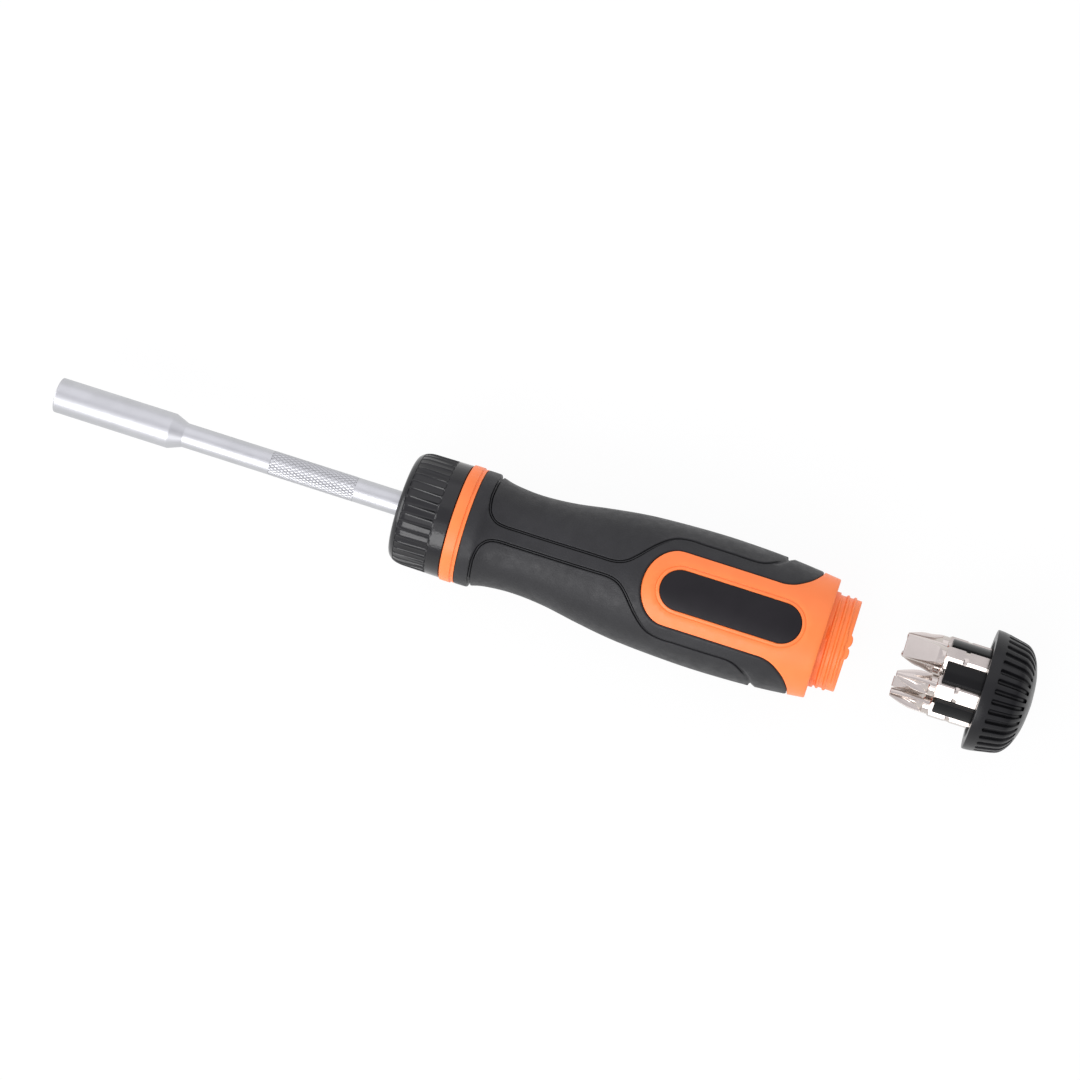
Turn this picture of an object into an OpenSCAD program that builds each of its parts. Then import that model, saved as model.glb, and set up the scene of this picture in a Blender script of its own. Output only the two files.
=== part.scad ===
// Ratcheting screwdriver with six hexagonal bits stored in a screw cap.
// The tool's axis is X. X is zero at the mouth of the bit socket and grows towards the cap.
// The badge faces up, along Z. The cap is drawn unscrewed and pulled straight back, as photographed.

/* [Shaft] */
// Radius of the bit holder barrel
barrel_r = 5.05; // [4.8:0.05:5.6]
// Length of the barrel up to its taper
barrel_len = 34.1; // [28:0.1:40]
// Length of the taper behind the barrel
taper_len = 4; // [2:0.1:6]
// Radius of the shank
shank_r = 3.5; // [3.3:0.05:3.7]
// Start of the knurled finger band
knurl_x = 64; // [50:0.5:68]
// Length of the knurled finger band
knurl_len = 25.1; // [10:0.1:30]
// Radius of the thinner rear journal
journal_r = 3; // [2.8:0.05:3.1]
// Depth of the hexagonal bit socket
socket_depth = 13; // [10:0.5:15]

/* [Selector collar] */
// Front face of the selector collar
collar_x = 103.4; // [100:0.1:106]
// Length of the selector collar
collar_len = 15.5; // [15.3:0.1:16.5]
// Largest radius of the selector collar
collar_r = 16.36; // [16:0.02:17]
// Number of finger scoops round the collar
scoop_count = 42; // [24:1:44]
// Depth of each finger scoop
scoop_depth = 0.45; // [0.2:0.05:0.7]
// Turn of the collar from its middle to either end position
selector_turn = 20; // [10:1:20]

/* [Ratchet] */
// Outer radius of the ratchet housing
housing_r = 12; // [11.6:0.05:12.4]
// Length of the ratchet gear
gear_len = 6.8; // [6:0.1:7]
// Width across the flats of the housing's hexagonal stem
stem_flats = 13; // [12:0.1:14]
// Length of the housing's stem
stem_len = 16; // [13:0.5:18]

/* [Handle] */
// Width of the bright ring behind the collar
ring_len = 4.2; // [3:0.1:6]
// Radius of the bright ring
ring_r = 16.75; // [16.4:0.05:17.5]
// Length of the grip's front band
band_len = 4; // [3:0.1:6]
// Radius of the grip's front band
band_r = 16.5; // [16:0.05:17.2]
// Width of the groove behind the front band
groove_w = 0.7; // [0.4:0.1:1.2]
// Length of the grip from that groove to the rear face
grip_len = 97.8; // [90:0.2:106]
// Radius of the grip at its front end
front_r = 15.8; // [15:0.05:16.4]
// Radius of the grip at its waist
waist_r = 14.29; // [13.6:0.01:15]
// Largest radius of the grip
belly_r = 19.15; // [18:0.05:21]
// Thickness of the soft grip layer
grip_wall = 2.4; // [1.6:0.1:2.8]
// Width of the grooves between the grip's pads
pad_groove_w = 0.9; // [0.5:0.1:1.4]
// Depth of the grooves between the grip's pads
pad_groove_depth = 0.6; // [0.3:0.1:1]

/* [Badge] */
// Length of the badge plate
badge_len = 40.1; // [34:0.1:41]
// Width of the badge plate
badge_w = 11.6; // [9:0.1:12]
// Thickness of the badge plate
badge_t = 1.2; // [0.8:0.1:1.6]
// Width of the shallow step round the badge plate
badge_step_w = 1.1; // [0.5:0.1:1.4]

/* [Bit compartment and cap] */
// Depth of that bore from the rear end of the threaded neck
store_depth = 33; // [32:0.5:40]
// Length of the threaded neck
neck_len = 7.3; // [7:0.1:8]
// Wall of the threaded neck under its thread
neck_wall = 1.1; // [1:0.05:1.3]
// Height of the thread on the neck
thread_h = 0.5; // [0.4:0.05:0.6]
// Pitch of the single thread
thread_pitch = 2; // [1.8:0.1:2.2]
// How far the cap stands off the handle as photographed
cap_travel = 45.1; // [40:0.1:60]
// Length of the cap
cap_len = 14.7; // [14:0.1:18]
// Wall of the cap at its rim
cap_wall = 3.27; // [2.8:0.01:4]
// Number of grip slots round the cap
cap_slot_count = 36; // [24:1:40]
// Depth of the cap's grip slots
cap_slot_depth = 1; // [0.4:0.1:1.2]

/* [Bits and rack] */
// Width of a bit across its flats
bit_flats = 6.35; // [6.3:0.01:6.4]
// Length of a bit
bit_len = 25; // [25:0.1:26]
// Distance of each bit from the cap's axis
bit_ring_r = 8.2; // [8:0.05:9]
// Length of bit that stands out of the cap
bit_reach = 23.2; // [22.4:0.1:24]
// Length of rack that stands out of the cap
rack_reach = 10.9; // [9:0.1:12]
// Width of the wide blade
wide_blade_w = 6.5; // [5:0.1:7]
// Thickness of the wide blade's edge
wide_blade_t = 1.5; // [1:0.1:1.8]
// Width of the narrow blade
narrow_blade_w = 3; // [2.5:0.1:5.5]
// Thickness of the narrow blade's edge
narrow_blade_t = 0.7; // [0.5:0.1:1.2]
// Angle of the first bit round the axis
first_bit_angle = 53; // [40:1:70]

/* [Hidden] */

// Clearances
fit_gap = 0.04;
running_gap = 0.05;
ring_gap = 0.18;
loose_gap = 0.3;
cut = 1;
small_edge = 0.3;

// Facets of round shapes and of shapes that only serve as blends
$fn = 96;
small_fn = 32;
bits_in_rack = 6;
hexagon = 6;
half_flat_angle = 180 / hexagon;

// Radii that follow from the bits outwards: rack, store, neck, cap and the grip's rear end
bit_show = 0.225;
store_gap = 0.48;
bit_outer_flat_r = bit_ring_r + bit_flats / 2;
rack_r = bit_outer_flat_r - bit_show;
store_r = norm([bit_outer_flat_r, bit_flats / 2 * tan(half_flat_angle)]) + store_gap;
neck_r = store_r + neck_wall;
cap_thread_gap = 0.25;
cap_bore_r = neck_r + thread_h + cap_thread_gap;
cap_r = cap_bore_r + cap_wall;

// Places along the axis
collar_end = collar_x + collar_len;
ring_x = collar_end + ring_gap;
band_x = ring_x + ring_len;
groove_x = band_x + band_len;
grip_x = groove_x + groove_w;
rear_x = grip_x + grip_len;
neck_end = rear_x + neck_len;
store_x = neck_end - store_depth;
seat_gap = 0.1;
rim_x = rear_x + seat_gap + cap_travel;
cap_end = rim_x + cap_len;

// Shaft details
front_chamfer = 0.5;
knurl_rise = 0.06;
shaft_groove_depth = 0.5;
circlip_w = 0.7;
socket_clearance = 0.1;
magnet_r = 2.5;
magnet_len = 4.9;

// Ratchet layout: sizes across the axis are shares of the housing's radius.
// With 36 teeth every turn of 30 degrees brings a tooth back to the same place
tooth_count = 36;
gear_tip_share = 0.5417;
gear_root_share = 0.4583;
gear_cavity_share = 0.5833;
gear_tip_r = housing_r * gear_tip_share;
gear_root_r = housing_r * gear_root_share;
collar_web = 2.2;
web_gap = 0.2;
housing_x = collar_x + collar_web + web_gap;
plate_gap = 1;
plate_t = 1.2;
plate_x = housing_x + plate_gap;
gear_gap = 0.4;
gear_x = plate_x + plate_t + gear_gap;
gear_end = gear_x + gear_len;
cavity_end = gear_end + gear_gap;
plate_seat_share = 0.8333;
plate_seat_r = housing_r * plate_seat_share;
snap_wire_w = 0.6;
snap_rise = 0.4;
snap_band = 1.4;
snap_opening = 36;
bush_wall = 1.5;
bush_r = journal_r + running_gap + bush_wall;
stem_end = ring_x + stem_len;
washer_t = 0.8;
washer_band = 2.4;
washer_x = stem_end + fit_gap;
shaft_circlip_x = washer_x + washer_t + running_gap;
shaft_end = shaft_circlip_x + circlip_w + 2 * front_chamfer;
stem_room = 3;

// Pawls, as shares of the housing's radius, with the gear's axis at the origin
pawl_angle = 100;
pivot_shares = [0.5125, 0.5];
boss_share = 0.1125;
tail_shares = [0.5833, 0.8333];
tail_r_share = 0.05;
pin_share = 0.058;
pin_hold = 1.4;
pawl_shares = [
    [0.5125, -0.0025], [0.5817, -0.0335], [0.6, -0.052], [0.667, -0.052], [0.679, 0.033],
    [0.625, 0.517], [0.633, 0.833], [0.542, 0.861], [0.421, 0.567], [0.417, 0.442],
    [0.579, 0.125], [0.585, 0.054], [0.5817, 0.0335], [0.5125, 0.0025]
];
pocket_shares = [
    [0.458, -0.092], [0.717, -0.092], [0.75, 0.083], [0.692, 0.5], [0.717, 0.775],
    [0.833, 1], [0.667, 1.083], [0.492, 0.933], [0.367, 0.608], [0.35, 0.417], [0.417, 0.167]
];
pawl_spring_shares = [
    [0.385, 0.633], [0.454, 0.729], [0.48, 0.892], [0.5, 0.888], [0.474, 0.718], [0.41, 0.617]
];
tail_reach_share = norm(tail_shares - pivot_shares);
tail_rest_angle = atan2(tail_shares[1] - pivot_shares[1], tail_shares[0] - pivot_shares[0]);
nose_lift_share = 0.044;
pawl_swing = asin(nose_lift_share / pivot_shares[1]);
pawl_ratio = pawl_swing / selector_turn;
cam_gap = 0.12;
cam_margin_angle = 6;
cam_step_angle = 2;

// Detent leaf spring under the collar, with the same shares
detent_angle = 270;
detent_top_shares = [
    [0.408, 0.879], [0.3, 0.896], [0.108, 0.9875], [0.046, 1.021], [0, 1.046],
    [-0.046, 1.021], [-0.108, 0.9875], [-0.3, 0.896], [-0.408, 0.879]
];
detent_under_shares = [
    [-0.408, 0.85], [-0.3, 0.867], [-0.108, 0.9583], [-0.033, 1],
    [0.033, 1], [0.108, 0.9583], [0.3, 0.867], [0.408, 0.85]
];
detent_floor_share = 0.8458;
detent_room_share = 0.425;
notch_r_share = 0.092;
notch_place_share = 0.992;
detent_len = 4;
detent_side_gap = 0.3;

// Selector collar
collar_bore_gap = 0.08;
collar_bore_r = housing_r + collar_bore_gap;
collar_face_drop = 2.96;
collar_round_len = 4.6;
collar_front_drop = 0.16;
collar_hole_gap = 0.3;
scoop_share = 0.4;
scoop_front = 1.8;
scoop_rear_band = 4;
selector_ring_wire_r = 0.45;
selector_ring_gap = 0.06;
selector_ring_inset = 1.5;
selector_ring_x = collar_end - selector_ring_inset;

// Grip form: shares of the grip's length, and of the way from the waist's radius to the front's,
// from the waist's to the largest one, and from the cap's to the largest one
front_shares = [[0, 1], [0.042, 0.353]];
belly_shares = [[0.12, 0], [0.214, 0.13], [0.317, 0.476], [0.419, 0.764], [0.522, 0.913], [0.658, 1]];
rear_shares = [[0.794, 0.868], [0.896, 0.538], [1, 0]];
curve_steps = 3;
cap_curve_steps = 2;
grip_reach = max(front_r, belly_r, cap_r) + cut;
edge_round = 0.35;
ring_bevel = 1.1;
groove_depth = 0.7;

// Bright panel that reaches through the grip: length shares of the grip, width shares of its largest radius
panel_front_share = 0.472;
panel_round_share = 0.09;
panel_flare_share = 0.856;
panel_w_share = 0.564;
panel_round_steps = 8;
panel_flare_w_share = 0.924;

// Groove between the pads: the same shares
pad_shares = [
    [0, 0.42], [0.008, 0.24], [0.026, 0.157], [0.052, 0.115], [0.385, 0.115], [0.414, 0.178],
    [0.439, 0.282], [0.488, 0.554], [0.526, 0.695], [0.567, 0.736], [0.769, 0.731],
    [0.813, 0.8], [0.844, 0.92], [0.86, 1.06]
];

// Badge plates
badge_front_share = 0.5256;
badge_x = grip_x + grip_len * badge_front_share;
badge_sink = 0.15;
badge_step_depth = 0.35;

// Threaded neck and cap
thread_root_half = 0.5;
thread_crest_half = 0.18;
thread_sink = 0.25;
thread_lead = 1.3;
thread_first_x = rear_x + thread_lead;
thread_last_gap = 0.7;
cap_thread_front = 2.2;
cap_thread_turns = 1.5;
rings_per_turn = 24;
stop_rise = 0.4;
stop_len = 1.2;
stop_angle = 18;
stop_start_angle = 77;
nub_r = 2.19;
nub_rise = 0.75;
nub_angles = [85.4, 101.4];
cap_shares = [
    [0, 1], [0.15, 0.992], [0.374, 0.957], [0.6, 0.915], [0.71, 0.861], [0.816, 0.747],
    [0.9, 0.58], [0.96, 0.36], [1, 0]
];
cap_hollow_end_share = 0.86;
cap_hollow_shares = [[0, 1], [0.626, 1], [0.762, 0.794], [0.85, 0.5], [cap_hollow_end_share, 0]];
cap_slot_share = 0.5;
cap_slot_front_share = 0.215;
cap_slot_rear_share = 0.85;
boss_r = 4.5;

// Rack and its screw
rack_x = rim_x - rack_reach;
bit_x = rim_x - bit_reach;
bit_end = bit_x + bit_len;
pocket_floor = bit_end + fit_gap;
rack_base = 2;
rack_end = pocket_floor + rack_base;
pocket_clearance = 0.1;
boss_x = rack_end + loose_gap;
screw_shoulder_r = 2;
screw_thread_r = 1.5;
screw_thread_len = 6;
screw_head_r = 3.5;
screw_head_len = 2.2;
screw_head_sink = 0.5;
screw_recess_w = 1;
screw_recess_len = 4;
screw_recess_depth = 1.2;
rack_finger_edge = 0.4;

// Bit details, measured from the tip
hex_start = 11.7;
bit_neck_r = 3;
bit_chamfer = 0.4;
bit_notch_from_rear = 8;
bit_notch_half = 0.6;
bit_notch_depth = 0.35;
blade_root_t = 4.6;
blade_root = 9;
cross_root = 9.5;
cross_cone = 26.5;
large_cross_r = 3;
large_cross_tip_r = 0.95;
large_cross_core_r = 0.75;
large_ribbed_tip_r = 1.2;
large_ribbed_core_r = 0.8;
small_cross_r = 2.3;
small_cross_tip_r = 0.65;
small_cross_core_r = 0.55;
small_ribbed_tip_r = 0.8;
small_ribbed_core_r = 0.6;
rib_w = 0.5;

function mix(a, b, share) = a + (b - a) * share;

// A smooth curve through the given points, with the given number of steps between two points
function curve_point(p0, p1, p2, p3, t) =
    0.5 * (2 * p1 + (p2 - p0) * t + (2 * p0 - 5 * p1 + 4 * p2 - p3) * t * t
    + (3 * p1 - p0 - 3 * p2 + p3) * t * t * t);

function curve(points, steps) = let (last = len(points) - 1) [
    for (i = [0 : last - 1], s = [0 : steps - 1])
        curve_point(points[max(i - 1, 0)], points[i], points[i + 1], points[min(i + 2, last)], s / steps),
    points[last]
];

// Points between two radii, at shares of the grip's length and of the way from one to the other
function grip_run(shares, from_r, to_r) = [
    for (p = shares) [grip_x + p[0] * grip_len, mix(from_r, to_r, p[1])]
];

// The grip's outline as [place along the axis, radius], drawn in by an inset
function grip_outline(inset) = let (points = concat(
    grip_run(front_shares, waist_r, front_r), grip_run(belly_shares, waist_r, belly_r),
    grip_run(rear_shares, cap_r, belly_r)
)) [for (p = curve(points, curve_steps)) [p[0], p[1] - inset]];

// The cap's outline, drawn in by an inset
function cap_outline(inset) = [
    for (p = curve(cap_shares, cap_curve_steps))
        [rim_x + p[0] * (cap_len - inset), max(p[1] * cap_r - inset, 0)]
];

// Stands a shape that was drawn along Z on the tool's axis, at a place along it
module along_x(x = 0) {
    translate([x, 0, 0]) rotate([90, 0, 90]) children();
}

// A turned solid from points [place along the axis, radius]
module turned(points, facets = $fn) {
    along_x() rotate_extrude($fn = facets) polygon([for (p = points) [p[1], p[0]]]);
}

module rod(x, r, length, facets = $fn) {
    along_x(x) cylinder(r = r, h = length, $fn = facets);
}

module hex_rod(x, flats, length) {
    along_x(x) rotate([0, 0, half_flat_angle])
        cylinder(r = flats / 2 / cos(half_flat_angle), h = length, $fn = hexagon);
}

// The grip's full form, drawn in by an inset
module grip_form(inset) {
    turned(concat([[grip_x, 0]], grip_outline(inset), [[rear_x, 0]]));
}

// A layer under the grip's surface, open outwards
module surface_layer(depth) {
    difference() {
        grip_form(-cut);
        grip_form(depth);
    }
}

// Outline of the bright panel seen from above
function panel_outline(grow) = let (
    front = grip_x + grip_len * panel_front_share - grow,
    round_len = grip_len * panel_round_share,
    half_w = belly_r * panel_w_share + grow,
    flare_x = grip_x + grip_len * panel_flare_share - grow,
    flare_w = belly_r * panel_flare_w_share + grow,
    side = concat(
        [for (i = [0 : panel_round_steps]) let (a = 90 * i / panel_round_steps)
            [front + round_len * (1 - cos(a)), half_w * sin(a)]],
        [for (i = [0 : panel_round_steps]) let (a = 90 * i / panel_round_steps)
            [flare_x + round_len * sin(a), flare_w - (flare_w - half_w) * cos(a)]],
        [[flare_x + round_len, grip_reach], [rear_x + cut, grip_reach]]
    )
) concat(side, [for (i = [len(side) - 1 : -1 : 1]) [side[i][0], -side[i][1]]]);

module panel_prism(grow) {
    translate([0, 0, -grip_reach]) linear_extrude(2 * grip_reach) polygon(panel_outline(grow));
}

// A band of constant width along a path of points
function band_side(path, offset) = [
    for (i = [0 : len(path) - 1]) let (
        before = path[max(i - 1, 0)],
        after = path[min(i + 1, len(path) - 1)],
        step = (after - before) / norm(after - before)
    ) path[i] + offset * [-step[1], step[0]]
];

function band(path, width) = let (far = band_side(path, -width / 2)) concat(
    band_side(path, width / 2), [for (i = [len(far) - 1 : -1 : 0]) far[i]]
);

module pad_grooves() {
    path = [for (p = pad_shares) [grip_x + p[0] * grip_len, p[1] * belly_r]];
    intersection() {
        surface_layer(pad_groove_depth);
        for (side = [0, 1]) mirror([0, side, 0])
            translate([0, 0, -grip_reach])
                linear_extrude(2 * grip_reach) polygon(band(path, pad_groove_w));
    }
}

// The pads' grooves run on along the front band, round both sides of the grip. Between the pads the band
// passes into the spine with no groove
module front_grooves() {
    half_w = pad_shares[0][1] * belly_r;
    difference() {
        turned([
            [groove_x, front_r - groove_depth], [groove_x, band_r + cut],
            [grip_x + fit_gap, band_r + cut], [grip_x + fit_gap, front_r - groove_depth]
        ]);
        translate([groove_x - cut, -half_w, -grip_reach])
            cube([groove_w + 2 * cut, 2 * half_w, 2 * grip_reach]);
    }
}

// A long shape with round ends, seen from above, on the upper or the lower side
module badge_prism(grow, up) {
    r = badge_w / 2 + grow;
    mirror([0, 0, up ? 0 : 1]) linear_extrude(grip_reach) {
        translate([badge_x - grow + r, 0]) circle(r = r);
        translate([badge_x + badge_len + grow - r, 0]) circle(r = r);
        translate([badge_x - grow + r, -r]) square([badge_len + 2 * grow - 2 * r, 2 * r]);
    }
}

module badge_recess(up) {
    intersection() {
        surface_layer(badge_sink + badge_t + fit_gap);
        badge_prism(fit_gap, up);
    }
    intersection() {
        surface_layer(badge_step_depth);
        badge_prism(badge_step_w, up);
    }
}

module badge_plate(up) {
    color([0.16, 0.16, 0.17]) intersection() {
        difference() {
            grip_form(badge_sink);
            grip_form(badge_sink + badge_t);
        }
        badge_prism(0, up);
    }
}

// Point on a screw ridge: half width and radius at a turn angle of the endless thread
function ridge_point(start_x, angle, half, r) =
    [start_x + thread_pitch * angle / 360 + half, r * cos(angle), r * sin(angle)];

// A screw ridge between two angles, with a wide base at one radius and a narrow crest at another
module screw_ridge(start_x, from_angle, to_angle, base_r, crest_r) {
    count = ceil((to_angle - from_angle) / 360 * rings_per_turn);
    outward = crest_r > base_r;
    points = [
        for (i = [0 : count]) let (a = mix(from_angle, to_angle, i / count)) each [
            ridge_point(start_x, a, -thread_root_half, base_r),
            ridge_point(start_x, a, thread_root_half, base_r),
            ridge_point(start_x, a, thread_crest_half, crest_r),
            ridge_point(start_x, a, -thread_crest_half, crest_r)
        ]
    ];
    sides = [
        for (i = [0 : count - 1], k = [0 : 3]) let (a = 4 * i + k, b = 4 * i + (k + 1) % 4) each
            [[a, b, b + 4], [a, b + 4, a + 4]]
    ];
    last = 4 * count;
    faces = concat(sides, [[3, 2, 1], [3, 1, 0]], [[last, last + 1, last + 2], [last, last + 2, last + 3]]);
    polyhedron(points, outward ? [for (f = faces) [f[2], f[1], f[0]]] : faces);
}

module handle_core() {
    neck_thread_start = 0;
    neck_thread_end = (neck_end - thread_last_gap - thread_first_x) / thread_pitch * 360;
    color([1, 0.45, 0.16]) difference() {
        union() {
            turned([
                [ring_x, 0], [ring_x, ring_r - edge_round], [ring_x + edge_round, ring_r],
                [band_x - ring_bevel, ring_r], [band_x, band_r - edge_round],
                [band_x, front_r - grip_wall], [grip_x + edge_round, front_r - grip_wall],
                [grip_x + edge_round, 0]
            ]);
            grip_form(grip_wall);
            intersection() {
                grip_form(0);
                panel_prism(0);
            }
            rod(rear_x - cut, neck_r, neck_len + cut);
            screw_ridge(thread_first_x, neck_thread_start, neck_thread_end,
                neck_r - thread_sink, neck_r + thread_h);
            along_x(rear_x - small_edge) rotate([0, 0, stop_start_angle])
                rotate_extrude(angle = stop_angle)
                    translate([neck_r - thread_sink, 0])
                        square([stop_rise + thread_sink, stop_len + small_edge]);
            for (a = nub_angles)
                translate([neck_end - nub_r + nub_rise, 0, 0]) rotate([a - 90, 0, 0])
                    translate([0, 0, store_r + small_edge])
                        cylinder(r = nub_r, h = neck_r - store_r - 2 * small_edge, $fn = small_fn);
        }
        rod(store_x, store_r, store_depth + cut);
        rod(ring_x - cut, journal_r + washer_band + loose_gap, stem_len + stem_room + cut);
        hex_rod(ring_x - cut, stem_flats + 2 * fit_gap, stem_len + cut);
        badge_recess(true);
        badge_recess(false);
    }
}

module grip_overmould() {
    color([0.13, 0.13, 0.14]) difference() {
        union() {
            turned([
                [band_x + fit_gap, 0], [band_x + fit_gap, band_r - edge_round],
                [band_x + fit_gap + edge_round, band_r], [groove_x - edge_round, band_r],
                [grip_x, front_r], [grip_x + small_edge, front_r - small_edge], [grip_x + small_edge, 0]
            ]);
            grip_form(0);
        }
        turned([
            [band_x - cut, 0], [band_x - cut, front_r - grip_wall + fit_gap],
            [grip_x + edge_round + fit_gap, front_r - grip_wall + fit_gap],
            [grip_x + edge_round + fit_gap, 0]
        ]);
        grip_form(grip_wall - fit_gap);
        panel_prism(fit_gap);
        pad_grooves();
        front_grooves();
    }
}

module badge_plate_top() {
    badge_plate(true);
}

module badge_plate_bottom() {
    badge_plate(false);
}

// Places one side's ratchet outlines round the gear: the left side is the mirror image of the right
module ratchet_side(left) {
    rotate([0, 0, left ? pawl_angle : 180 - pawl_angle]) mirror([0, left ? 0 : 1, 0]) children();
}

module share_polygon(shares) {
    polygon(housing_r * shares);
}

module ratchet_housing() {
    color([0.62, 0.63, 0.65]) difference() {
        union() {
            rod(housing_x, housing_r, ring_x - housing_x);
            hex_rod(ring_x - small_edge, stem_flats, stem_len + small_edge);
        }
        rod(housing_x - cut, plate_seat_r, gear_x - gear_gap - housing_x + cut);
        rod(plate_x - snap_wire_w - running_gap - fit_gap, plate_seat_r + snap_rise,
            snap_wire_w + running_gap);
        rod(gear_x - gear_gap - cut, housing_r * gear_cavity_share, cavity_end - gear_x + gear_gap + cut);
        for (left = [true, false]) {
            along_x(gear_x - gear_gap - small_edge) ratchet_side(left)
                linear_extrude(cavity_end - gear_x + gear_gap + small_edge) share_polygon(pocket_shares);
            along_x(cavity_end - small_edge) ratchet_side(left) translate(housing_r * pivot_shares)
                cylinder(r = housing_r * pin_share + fit_gap, h = pin_hold + small_edge, $fn = small_fn);
        }
        rod(cavity_end - cut, bush_r + fit_gap, stem_end - cavity_end + 2 * cut);
        selector_ring_groove();
        along_x(gear_x + (gear_len - detent_len) / 2 - detent_side_gap) rotate([0, 0, detent_angle - 90])
            translate([-housing_r * detent_room_share, housing_r * detent_floor_share])
                cube([
                    2 * housing_r * detent_room_share, housing_r * (1 - detent_floor_share) + cut,
                    detent_len + 2 * detent_side_gap
                ]);
    }
}

// Room for the collar's snap ring, half in the housing and half in the collar
module selector_ring_groove() {
    along_x(selector_ring_x) rotate_extrude() translate([housing_r + fit_gap, 0])
        circle(r = selector_ring_wire_r + selector_ring_gap, $fn = small_fn);
}

module front_bearing_plate() {
    color([0.7, 0.71, 0.72]) difference() {
        rod(plate_x, plate_seat_r - fit_gap, plate_t);
        rod(plate_x - cut, shank_r + running_gap, plate_t + 2 * cut);
        for (left = [true, false])
            along_x(plate_x + small_edge) ratchet_side(left) translate(housing_r * pivot_shares)
                cylinder(r = housing_r * pin_share + fit_gap, h = plate_t, $fn = small_fn);
    }
}

module housing_snap_ring() {
    color([0.35, 0.36, 0.38]) along_x(plate_x - snap_wire_w - fit_gap)
        rotate([0, 0, 90 + snap_opening / 2]) rotate_extrude(angle = 360 - snap_opening)
            translate([plate_seat_r + snap_rise - running_gap - snap_band, 0])
                square([snap_band, snap_wire_w]);
}

module rear_bush() {
    color([0.78, 0.62, 0.36]) difference() {
        rod(cavity_end + small_edge, bush_r, stem_end - cavity_end - small_edge);
        rod(cavity_end - cut, journal_r + running_gap, stem_end - cavity_end + 2 * cut);
    }
}

module thrust_washer() {
    color([0.75, 0.76, 0.78]) difference() {
        rod(washer_x, journal_r + washer_band, washer_t);
        rod(washer_x - cut, journal_r + running_gap, washer_t + 2 * cut);
    }
}

module pawl_pins() {
    color([0.8, 0.81, 0.82]) for (left = [true, false])
        along_x(plate_x + small_edge + fit_gap) ratchet_side(left) translate(housing_r * pivot_shares)
            cylinder(r = housing_r * pin_share,
                h = cavity_end + pin_hold - plate_x - small_edge - 2 * fit_gap, $fn = small_fn);
}

module pawl_spring(left) {
    color([0.7, 0.71, 0.73]) along_x(gear_x + small_edge) ratchet_side(left)
        linear_extrude(gear_len - 2 * small_edge) share_polygon(pawl_spring_shares);
}

module pawl_spring_left() {
    pawl_spring(true);
}

module pawl_spring_right() {
    pawl_spring(false);
}

module detent_spring() {
    color([0.7, 0.71, 0.73]) along_x(gear_x + (gear_len - detent_len) / 2)
        rotate([0, 0, detent_angle - 90])
            linear_extrude(detent_len) share_polygon(concat(detent_top_shares, detent_under_shares));
}

module selector_snap_ring() {
    color([0.35, 0.36, 0.38]) along_x(selector_ring_x)
        rotate([0, 0, 90 + snap_opening / 2]) rotate_extrude(angle = 360 - snap_opening)
            translate([housing_r + fit_gap, 0]) circle(r = selector_ring_wire_r, $fn = small_fn);
}

module shaft() {
    color([0.78, 0.79, 0.8]) difference() {
        turned([
            [0, 0], [0, barrel_r - front_chamfer], [front_chamfer, barrel_r],
            [barrel_len - small_edge, barrel_r], [barrel_len, barrel_r - small_edge],
            [barrel_len + taper_len, shank_r],
            [knurl_x, shank_r], [knurl_x + knurl_rise, shank_r + knurl_rise],
            [knurl_x + knurl_len - knurl_rise, shank_r + knurl_rise], [knurl_x + knurl_len, shank_r],
            [gear_x, shank_r], [gear_x, journal_r],
            [shaft_circlip_x, journal_r], [shaft_circlip_x, journal_r - shaft_groove_depth],
            [shaft_circlip_x + circlip_w, journal_r - shaft_groove_depth],
            [shaft_circlip_x + circlip_w, journal_r],
            [shaft_end - front_chamfer, journal_r], [shaft_end, journal_r - front_chamfer], [shaft_end, 0]
        ]);
        hex_rod(-cut, bit_flats + socket_clearance, socket_depth + cut);
        rod(socket_depth - cut, magnet_r + fit_gap, magnet_len + fit_gap + cut);
    }
}

module ratchet_gear() {
    pitch_angle = 360 / tooth_count;
    color([0.55, 0.56, 0.58]) difference() {
        along_x(gear_x + fit_gap) linear_extrude(gear_len - fit_gap) polygon([
            for (i = [0 : tooth_count - 1]) let (a = i * pitch_angle) each [
                gear_tip_r * [cos(a + pitch_angle / 2), sin(a + pitch_angle / 2)],
                gear_root_r * [cos(a + pitch_angle), sin(a + pitch_angle)]
            ]
        ]);
        rod(gear_x - cut, journal_r + fit_gap, gear_len + 2 * cut);
    }
}

module shaft_circlip() {
    color([0.35, 0.36, 0.38]) along_x(shaft_circlip_x + fit_gap)
        rotate([0, 0, 90 + snap_opening / 2]) rotate_extrude(angle = 360 - snap_opening)
            translate([journal_r - shaft_groove_depth + fit_gap, 0])
                square([snap_band + shaft_groove_depth, circlip_w - 2 * fit_gap]);
}

module bit_magnet() {
    color([0.5, 0.5, 0.52]) rod(socket_depth, magnet_r, magnet_len);
}

// Reach of a pawl's tail from the gear's axis when the pawl is turned by an angle: [direction, radius]
function tail_reach(turn) = let (
    centre = pivot_shares + tail_reach_share * [cos(tail_rest_angle + turn), sin(tail_rest_angle + turn)]
) [atan2(centre[1], centre[0]), (norm(centre) + tail_r_share) * housing_r];

// Cam surface that carries a pawl's tail, in the collar's own frame. The right cam slopes the other way
// from the left one, because the collar pushes both the same way round
function cam_outline(side) = [
    for (turn = [-selector_turn - cam_margin_angle : cam_step_angle : selector_turn + cam_margin_angle])
        let (
            tail = tail_reach(side * max(min(turn, selector_turn), -selector_turn) * pawl_ratio),
            a = tail[0] - side * turn
        ) (tail[1] + cam_gap) * [cos(a), sin(a)]
];

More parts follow.
